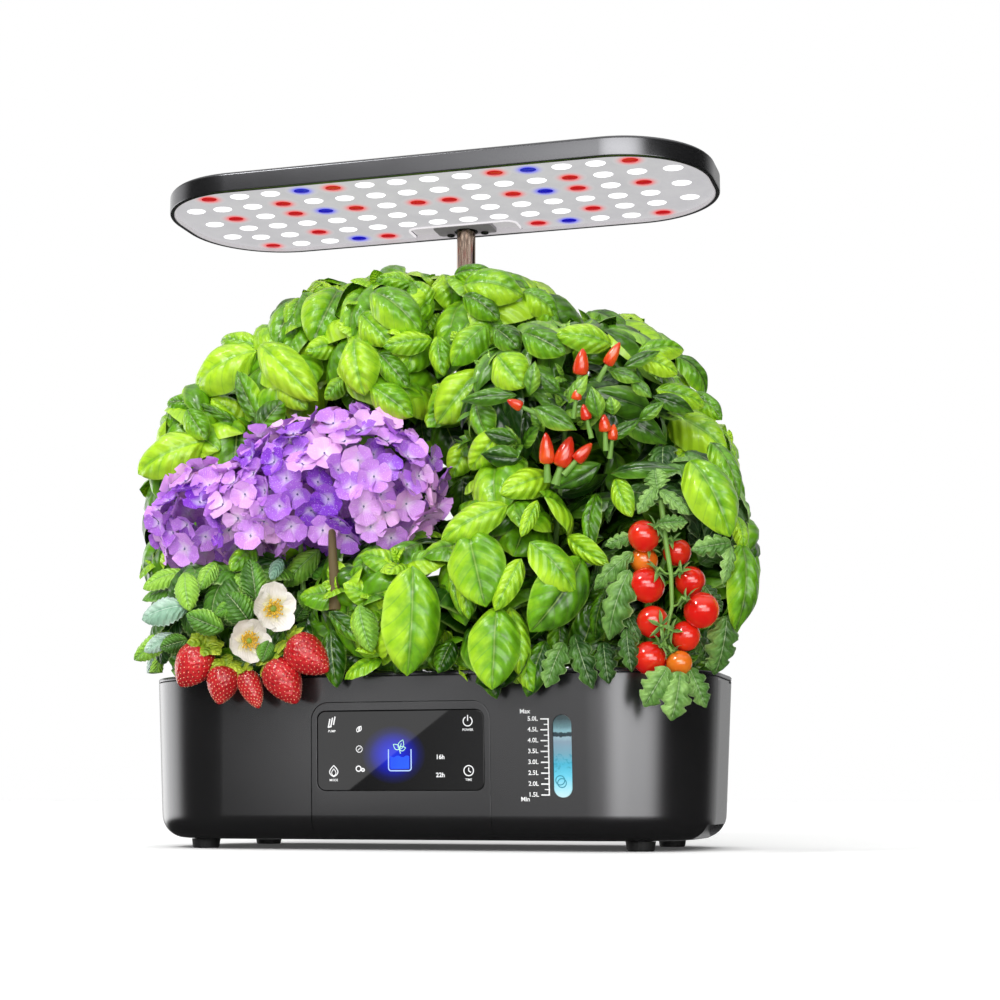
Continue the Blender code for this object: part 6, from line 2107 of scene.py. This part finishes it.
@dataclass
class Fruits:
    """The strawberries, their flowers, the tomatoes on their vine and the chillies."""

    strawberries: tuple = (((180, 686), (205, 648), 40), ((219, 704), (226, 667), 33),
                           ((259, 708), (245, 672), 24), ((297, 703), (273, 662), 38),
                           ((328, 671), (291, 643), 40))
    seed_count: int = 190
    flowers: tuple = (((272, 609), 24, 0.3), ((248, 641), 21, 1.0))
    tomatoes: tuple = (((644, 536), 16, -0.112), ((644, 560), 14, -0.104), ((677, 552), 14, -0.100),
                       ((647, 585), 18, -0.111), ((690, 581), 15, -0.101), ((701, 610), 18, -0.110),
                       ((653, 622), 16, -0.110), ((685, 636), 15, -0.106), ((650, 658), 17, -0.112),
                       ((679, 663), 13, -0.112))
    half_ripe: tuple = (1, 9)
    vine: tuple = ((661, 500), (665, 537), (671, 574), (672, 607), (664, 640), (668, 652))
    chillies: tuple = (((547, 464), (546, 432), 13), ((561, 467), (571, 436), 16),
                       ((576, 461), (592, 443), 11), ((580, 375), (583, 348), 13),
                       ((607, 365), (620, 342), 10), ((576, 400), (578, 386), 9),
                       ((522, 407), (507, 400), 9), ((605, 432), (604, 414), 10),
                       ((612, 440), (614, 424), 9), ((587, 420), (583, 404), 9))

    def hang(self, foot: Vector, tip: Vector) -> Matrix:
        """Give the place of a fruit that is turned about Z, from its foot at the top down to its tip."""
        return Matrix.Translation(foot) @ pointing(foot - tip)

    def star(self, bm: bmesh.types.BMesh, place: Vector, axis: Vector, size: float, count: int, slim: float,
             rng: random.Random) -> None:
        """Add a calyx of narrow leaves on top of a fruit.

        Args:
            bm: The bmesh that gets it.
            place: The calyx's middle.
            axis: The way it faces.
            size: Its leaves' length.
            count: How many leaves.
            slim: Their width as a share of their length.
            rng: Random numbers.
        """
        first = axis.orthogonal().normalized()
        for number in range(count):
            radial = Matrix.Rotation(2 * math.pi * number / count + rng.uniform(-0.2, 0.2), 3, axis) @ first
            ahead = (radial + axis * rng.uniform(-0.25, 0.35)).normalized()
            shape = LeafShape.OVATE if slim > 0.5 else LeafShape.LANCE
            add_leaf(bm, Leaf(place, place + ahead * size, axis, size * slim, shape, 0.6, 0.1, 0.05,
                              0.03, rng.uniform(0.4, 0.9), rng.uniform(-1, 1), columns=4, rows=5))

    def make_strawberries(self, rng: random.Random) -> None:
        """Make the strawberries with their seeds, and their calyxes.

        Args:
            rng: Random numbers.
        """
        profile = ((0.0, 0.0), (0.30, 0.01), (0.62, -0.03), (0.88, -0.13), (1.0, -0.30), (0.97, -0.46),
                   (0.80, -0.66), (0.52, -0.84), (0.24, -0.96), (0.08, -1.0), (0.0, -1.004))
        flesh, seeds, calyx = bmesh.new(), bmesh.new(), new_plant_mesh()
        for tip_pixel, foot_pixel, width in self.strawberries:
            foot, tip = VIEW.at(foot_pixel, -0.109), VIEW.at(tip_pixel, -0.111)
            length, radius = (foot - tip).length, width / 2 * VIEW.pixel_size(tip)
            place = self.hang(foot, tip)
            add_turned(flesh, [(r * radius, z * length) for r, z in profile], place, 40)
            for number in range(self.seed_count):
                along = 0.04 + 0.92 * (number + 0.5) / self.seed_count
                step = next(i for i in range(1, len(profile)) if -profile[i][1] >= along)
                (r0, z0), (r1, z1) = profile[step - 1], profile[step]
                share = (along + z0) / (z0 - z1)
                reach = (r0 + (r1 - r0) * share) * radius
                spot = Matrix.Rotation(number * GOLDEN_ANGLE, 4, "Z") @ Matrix.Translation(
                    (reach - 0.0001, 0.0, -along * length)) @ Matrix.Diagonal((0.45, 0.7, 1.0, 1.0))
                bmesh.ops.create_icosphere(seeds, subdivisions=1, radius=0.00056, matrix=place @ spot)
            axis = (foot - tip).normalized()
            forwards = (axis + Vector((0.0, -0.9, 0.1))).normalized()
            self.star(calyx, foot + axis * 0.001, forwards, radius * 1.05, 6, 0.80, rng)
        put_grown("strawberry_fruits", flesh, "strawberry_leaf", STRAWBERRY_RED)
        put_grown("strawberry_seeds", seeds, "strawberry_leaf", SEED_SKIN)
        put(new_object("strawberry_calyxes", calyx, smooth=True), "deck", "strawberry_leaf", CALYX_SKIN)

    def make_flowers(self, rng: random.Random) -> None:
        """Make the two white strawberry flowers.

        Args:
            rng: Random numbers.
        """
        petals, pollen, hearts = new_plant_mesh(), bmesh.new(), bmesh.new()
        for pixel, size, spin in self.flowers:
            place = VIEW.at(pixel, -0.114)
            normal = (-VIEW.ray(pixel) + Vector((0.42, 0.0, 0.08))).normalized()
            reach = size * VIEW.pixel_size(place)
            first = normal.orthogonal().normalized()
            for number in range(5):
                turn = spin + 2 * math.pi * number / 5 + rng.uniform(-0.1, 0.1)
                radial = Matrix.Rotation(turn, 3, normal) @ first
                ahead = (radial + normal * rng.uniform(0.3, 0.55)).normalized()
                foot = place + normal * (0.0008 * (number % 2))
                long = reach * rng.uniform(1.0, 1.2)
                add_leaf(petals, Leaf(foot, foot + ahead * long, normal, long * 1.02, LeafShape.ROUND,
                                      -0.6, -0.10, 0.04, 0.05, rng.uniform(0.2, 0.9), rng.uniform(-1, 1),
                                      columns=9, rows=12))
            for number in range(34):
                angle, away = number * GOLDEN_ANGLE, reach * rng.uniform(0.22, 0.46)
                radial = Matrix.Rotation(angle, 3, normal) @ first
                spot = place + radial * away + normal * (0.0042 + rng.uniform(-0.0008, 0.0008))
                bent = [place + normal * 0.001, place.lerp(spot, 0.5) + normal * 0.0008, spot]
                add_stalk(pollen, bent, 0.00035, 5)
                anther = Matrix.Translation(spot)
                bmesh.ops.create_icosphere(pollen, subdivisions=1, radius=0.0008, matrix=anther)
            heart = Matrix.Translation(place + normal * 0.0015)
            bmesh.ops.create_icosphere(hearts, subdivisions=3, radius=reach * 0.17, matrix=heart)
        flowers = new_object("strawberry_flower_petals", petals, smooth=True)
        put(flowers, "deck", "strawberry_leaf", WHITE_PETAL)
        put_grown("strawberry_flower_stamens", pollen, "strawberry_leaf", STAMEN_SKIN)
        put_grown("strawberry_flower_hearts", hearts, "strawberry_leaf", CALYX_SKIN)

    def make_tomatoes(self, rng: random.Random) -> None:
        """Make the tomatoes, their calyxes and the vine they hang on.

        Args:
            rng: Random numbers.
        """
        ripe, orange, calyx, vine = bmesh.new(), bmesh.new(), new_plant_mesh(), bmesh.new()
        line = [VIEW.at(pixel, -0.111) for pixel in self.vine]
        add_stalk(vine, line, 0.0019, 8)
        for number, (pixel, size, depth) in enumerate(self.tomatoes):
            fruit = orange if number in self.half_ripe else ripe
            middle = VIEW.at(pixel, depth)
            radius = size * VIEW.pixel_size(middle)
            node = min(line, key=lambda point: (point - middle).length)
            axis = ((node - middle).normalized() + Vector((0.0, -0.55, 0.6))).normalized()
            place = self.hang(middle + axis * radius * 0.94, middle - axis * radius)
            profile = [(radius * math.sin(math.pi * k / 14) * 1.03,
                        -radius * (1 - math.cos(math.pi * k / 14)) * 0.97) for k in range(15)]
            profile[0] = (0.0, -radius * 0.07)
            profile[1] = (profile[1][0] * 0.8, -radius * 0.035)
            profile[-1] = (0.0, profile[-1][1])
            add_turned(fruit, profile, place, 32)
            top = middle + axis * radius * 0.93
            self.star(calyx, top + axis * 0.0006, axis, radius * 1.0, 6, 0.26, rng)
            add_stalk(vine, [top, top + axis * 0.004, node.lerp(top, 0.4), node], 0.0013, 6)
        put_grown("tomato_fruits", ripe, "tomato_leaf", TOMATO_RED)
        put_grown("tomato_fruits_half_ripe", orange, "tomato_leaf", TOMATO_ORANGE)
        put(new_object("tomato_calyxes", calyx, smooth=True), "deck", "tomato_leaf", TOMATO_SKIN)
        put_grown("tomato_vine", vine, "tomato_leaf", STEM_SKIN)

    def make_chillies(self, canopy: Canopy) -> None:
        """Make the upright chillies, which lie on the chilli's crown.

        Args:
            canopy: Every plant's crown.
        """
        flesh, caps = bmesh.new(), bmesh.new()
        profile = ((0.0, 0.0), (0.55, 0.0), (0.92, 0.06), (1.0, 0.20), (0.95, 0.40), (0.78, 0.62),
                   (0.50, 0.82), (0.22, 0.95), (0.0, 1.0))
        for foot_pixel, tip_pixel, width in self.chillies:
            place, _ = canopy.touch(foot_pixel)
            back = -VIEW.ray(foot_pixel)
            foot = place + back * 0.012
            tip = VIEW.on_plane(tip_pixel, foot, back)
            length, radius = (tip - foot).length, width * 0.62 * VIEW.pixel_size(foot)
            stand = Matrix.Translation(foot) @ pointing(tip - foot)
            add_turned(flesh, [(r * radius, z * length) for r, z in profile], stand, 24)
            add_stalk(caps, [foot - (tip - foot).normalized() * 0.012, foot, foot + (tip - foot) * 0.02],
                      radius * 0.5, 8)
        put_grown("chilli_fruits", flesh, "chilli_leaf", CHILLI_RED)
        put_grown("chilli_stalks", caps, "chilli_leaf", STEM_SKIN)

    def build(self, canopy: Canopy) -> None:
        """Make every fruit and flower.

        Args:
            canopy: Every plant's crown.
        """
        rng = random.Random(77)
        self.make_strawberries(rng)
        self.make_flowers(rng)
        self.make_tomatoes(rng)
        self.make_chillies(canopy)


@dataclass
class Garden:
    """All twelve plants, and the counts of the dark leaves that stand and lie under them."""

    standing: int = 78
    lying: int = 120

    def plants(self) -> list[Plant]:
        """List the plants with their pods.

        Returns:
            The plants.
        """
        front = (("strawberry_plant", STRAWBERRY, STRAWBERRY_SEEN), ("hydrangea_plant", HYDRANGEA, ()),
                 ("basil_plant_front_left", BASIL, BASIL_SEEN), ("basil_plant_front_right", BASIL, ()),
                 ("chilli_plant", CHILLI, CHILLI_SEEN), ("tomato_plant", TOMATO, TOMATO_SEEN))
        back = ("far_left", "left", "centre_left", "centre_right", "right", "far_right")
        found = [Plant(name, (POD_X[i], POD_ROWS[0]), habit, 11 + i, seen)
                 for i, (name, habit, seen) in enumerate(front)]
        found += [Plant(f"basil_plant_{name}", (POD_X[i], POD_ROWS[1]), BASIL, 31 + i)
                  for i, name in enumerate(back)]
        return found

    def make_undergrowth(self) -> None:
        """Stand leaves low behind the tank's rim, where the crowns leave gaps, painted dark as the shade
        under the crowns.
        """
        rng = random.Random(404)
        bm = new_plant_mesh()
        for number in range(self.standing):
            x = -0.186 + 0.372 * (number + 0.5) / self.standing + rng.uniform(-0.004, 0.004)
            room = 0.078 - 0.072 * max(0.0, abs(x) - 0.125) / 0.06
            foot = Vector((x, -rng.uniform(0.30, 1.0) * room, 0.1192))
            rise = (rng.uniform(-0.022, 0.022), rng.uniform(-0.010, 0.014), rng.uniform(0.022, 0.040))
            facing = Vector((rng.uniform(-0.4, 0.4), -1.0, 0.3)).normalized()
            add_leaf(bm, Leaf(foot, foot + Vector(rise), facing, rng.uniform(0.016, 0.026),
                              LeafShape.OVATE, rng.uniform(0.2, 0.6), 0.14, 0.12, 0.02,
                              rng.uniform(0.0, 0.22), rng.uniform(-1, 1), columns=6, rows=8))
        for number in range(self.lying):
            x = -0.188 + 0.376 * (number + 0.5) / self.lying + rng.uniform(-0.002, 0.002)
            room = 0.087 - 0.076 * max(0.0, abs(x) - 0.128) / 0.06
            reach = rng.choice((-1, 1)) * rng.uniform(0.012, 0.018)
            middle = Vector((x, -rng.uniform(0.90, 1.0) * room, 0.1262))
            add_leaf(bm, Leaf(middle - Vector((reach, 0.0, 0.002)), middle + Vector((reach, -0.003, 0.001)),
                              Vector((rng.uniform(-0.3, 0.3), -1.0, 0.25)).normalized(),
                              rng.uniform(0.016, 0.021), LeafShape.OVATE, 0.1, 0.12, 0.10, 0.0,
                              rng.uniform(0.0, 0.3), 0.0,
                              columns=6, rows=8), free=True)
        put(new_object("undergrowth_leaves", bm, smooth=True), "deck", "basil_leaf", BASIL_SKIN)

    def make_undersides(self, canopy: Canopy) -> None:
        """Make the strawberry leaves that show their pale undersides.

        Args:
            canopy: Every plant's crown.
        """
        pale = new_plant_mesh()
        rng = random.Random(9)
        for seen in PALE_SEEN:
            add_leaf(pale, canopy.leaf(seen, LeafShape.SERRATE, rng))
        leaves = new_object("strawberry_leaf_undersides", pale, smooth=True)
        put(leaves, "deck", "strawberry_leaf", UNDERSIDE_SKIN)

    def build(self) -> None:
        """Make every plant."""
        plants = self.plants()
        canopy = Canopy({plant.node: Crown(plant.node) for plant in plants})
        taken: list[Vector] = []
        for plant in plants:
            plant.build(canopy, taken)
        self.make_undergrowth()
        self.make_undersides(canopy)
        HydrangeaHeads().build()
        Fruits().build(canopy)


@dataclass
class Studio:
    """The white room: its floor, its light and the camera.

    The dome is given by the height where it starts and ends and its strength there. A strip is a tall soft
    lamp, given by its turn from the front towards the right and its half width in degrees, the heights it
    reaches between, and its strength.
    """

    dome: tuple[float, float, float, float] = (0.40, 0.98, 0.03, 1.0)
    strips: tuple = ((36.0, 33.0, -0.12, 0.08, 3.9), (13.0, 33.0, 0.26, 0.36, 6.6),
                     (4.0, 28.0, -0.12, 0.08, 1.0), (0.0, 30.0, 0.26, 0.36, 0.5),
                     (-112.0, 35.0, -0.12, 0.08, 2.7), (-118.0, 40.0, 0.26, 0.36, 1.15),
                     (180.0, 48.0, -0.12, 0.40, 0.55))
    floor_boost: float = 0.34
    card: tuple = ((-0.42, -1.0, -0.091), (-0.20, -1.0, 0.071), (-0.46, -1.0, 0.071), (-0.46, -1.0, -0.091))
    card_light: float = 1.6

    def area(self, name: str, place: tuple, aim: tuple, size: tuple, power: float) -> None:
        """Add a soft rectangular white lamp.

        Args:
            name: Its name.
            place: Where it stands.
            aim: Where it points.
            size: Its width and height.
            power: Its watts.
        """
        data = bpy.data.lights.new(name, "AREA")
        data.shape = "RECTANGLE"
        data.size, data.size_y = size
        data.energy = power
        lamp = bpy.data.objects.new(name, data)
        lamp.location = place
        lamp.rotation_euler = (Vector(aim) - Vector(place)).to_track_quat("-Z", "Y").to_euler()
        bpy.context.scene.collection.objects.link(lamp)

    def make_world(self) -> None:
        """White where the camera or a clear piece sees it, and a studio of soft tall lamps for the light."""
        world = bpy.data.worlds.new("white_studio")
        tree = empty_tree(world)
        way = add_node(tree, "TexCoord").outputs["Generated"]
        level = add_node(tree, "VectorMath", {0: way, 1: (1, 1, 0)}, operation="MULTIPLY")
        level = add_node(tree, "VectorMath", {0: level}, operation="NORMALIZE")
        rise = add_node(tree, "SeparateXYZ", {"Vector": way}).outputs["Z"]
        total = add_node(tree, "MapRange", {
            "Value": rise, "From Min": self.dome[0], "From Max": self.dome[1], "To Min": self.dome[2],
            "To Max": self.dome[3]}, interpolation_type="SMOOTHSTEP")
        for turn, width, low, high, strength in self.strips:
            aim = (math.sin(math.radians(turn)), -math.cos(math.radians(turn)), 0.0)
            near = add_node(tree, "VectorMath", {0: level, 1: aim}, operation="DOT_PRODUCT")
            tall = add_node(tree, "MapRange", {
                "Value": near.outputs["Value"], "From Min": math.cos(math.radians(width)),
                "From Max": math.cos(math.radians(width * 0.35)), "To Max": strength},
                interpolation_type="SMOOTHSTEP")
            foot = add_node(tree, "MapRange", {
                "Value": rise, "From Min": low - 0.10, "From Max": low}, interpolation_type="SMOOTHSTEP")
            head = add_node(tree, "MapRange", {
                "Value": rise, "From Min": high, "From Max": high + 0.2, "To Min": 1.0, "To Max": 0.0},
                interpolation_type="SMOOTHSTEP")
            cut = add_node(tree, "Math", {0: foot, 1: head}, operation="MULTIPLY")
            total = add_node(tree, "Math", {0: tall, 1: cut, 2: total}, operation="MULTIPLY_ADD")
        rays = add_node(tree, "LightPath")
        seen = add_node(tree, "Math", {
            0: rays.outputs["Is Camera Ray"], 1: rays.outputs["Is Transmission Ray"]}, operation="MAXIMUM")
        strength = add_node(tree, "Mix", {0: seen, 2: total, 3: 1.0}, data_type="FLOAT")
        light = add_node(tree, "Background", {"Color": (1, 1, 1, 1), "Strength": strength})
        add_node(tree, "OutputWorld", {"Surface": light})
        bpy.context.scene.world = world

    def make_floor(self) -> None:
        """Make the white floor, which isn't mirrored in the object and shows only its shadow: a real shadow
        in its light, and a painted contact shadow where ambient occlusion dims its glow.
        """
        bm = bmesh.new()
        bmesh.ops.create_grid(bm, x_segments=1, y_segments=1, size=8.0)
        floor = new_object("studio_floor", bm)
        mat = bpy.data.materials.new("studio_floor_white")
        tree = empty_tree(mat)
        # Painted shadow: ambient occlusion dims the floor's glow near the object.
        near = add_node(tree, "AmbientOcclusion", {"Distance": 0.035}).outputs["AO"]
        lit = add_node(tree, "MapRange", {
            "Value": near, "From Min": 0.25, "From Max": 0.95, "To Min": 0.05, "To Max": self.floor_boost})
        shader = add_node(tree, "BsdfPrincipled", {
            "Base Color": (0.9, 0.9, 0.9, 1), "Roughness": 1.0, "Specular IOR Level": 0.0,
            "Emission Color": lit, "Emission Strength": add_node(tree, "LightPath").outputs["Is Camera Ray"]})
        add_node(tree, "OutputMaterial", {"Surface": shader})
        floor.data.materials.append(mat)
        floor.visible_glossy = False

    def make_card(self) -> None:
        """Stand a white card before the touch glass, seen only as the slanted reflection in it."""
        bm = bmesh.new()
        corners = [bm.verts.new(place) for place in self.card]
        bm.faces.new(corners)
        card = new_object("studio_reflector_card", bm)
        mat = bpy.data.materials.new("studio_reflector_white")
        tree = empty_tree(mat)
        shader = add_node(tree, "BsdfPrincipled", {
            "Base Color": (0, 0, 0, 1), "Emission Color": (1, 1, 1, 1), "Emission Strength": self.card_light})
        add_node(tree, "OutputMaterial", {"Surface": shader})
        card.data.materials.append(mat)
        card.visible_camera = False
        card.visible_diffuse = False
        card.visible_shadow = False
        card.visible_transmission = False

    def make_camera(self) -> None:
        """Stand the camera where the photograph was taken from."""
        data = bpy.data.cameras.new("camera")
        data.sensor_width = VIEW.sensor
        data.lens = VIEW.lens
        data.clip_start = 0.05
        data.clip_end = 50.0
        camera = bpy.data.objects.new("camera", data)
        camera.location = VIEW.place
        camera.rotation_euler = (VIEW.tilt, 0.0, VIEW.turn)
        bpy.context.scene.collection.objects.link(camera)
        bpy.context.scene.camera = camera

    def build(self) -> None:
        """Make the studio."""
        bpy.context.scene.view_settings.view_transform = "Standard"
        self.make_world()
        self.make_floor()
        self.make_card()
        self.make_camera()
        self.area("key_softbox", (-0.7, -1.2, 1.5), (0, 0, 0.25), (0.4, 0.4), 12.0)


def main() -> None:
    """Build every piece in order, then the studio."""
    logging.basicConfig(level=logging.INFO, format="%(name)s %(message)s")
    for part in (TankBase(), FrontPrints(), PlantingDeck(), Mast(), Lamp(), Garden(), Studio()):
        LOG.info("building %s", type(part).__name__)
        part.build()


if __name__ == "__main__":
    main()
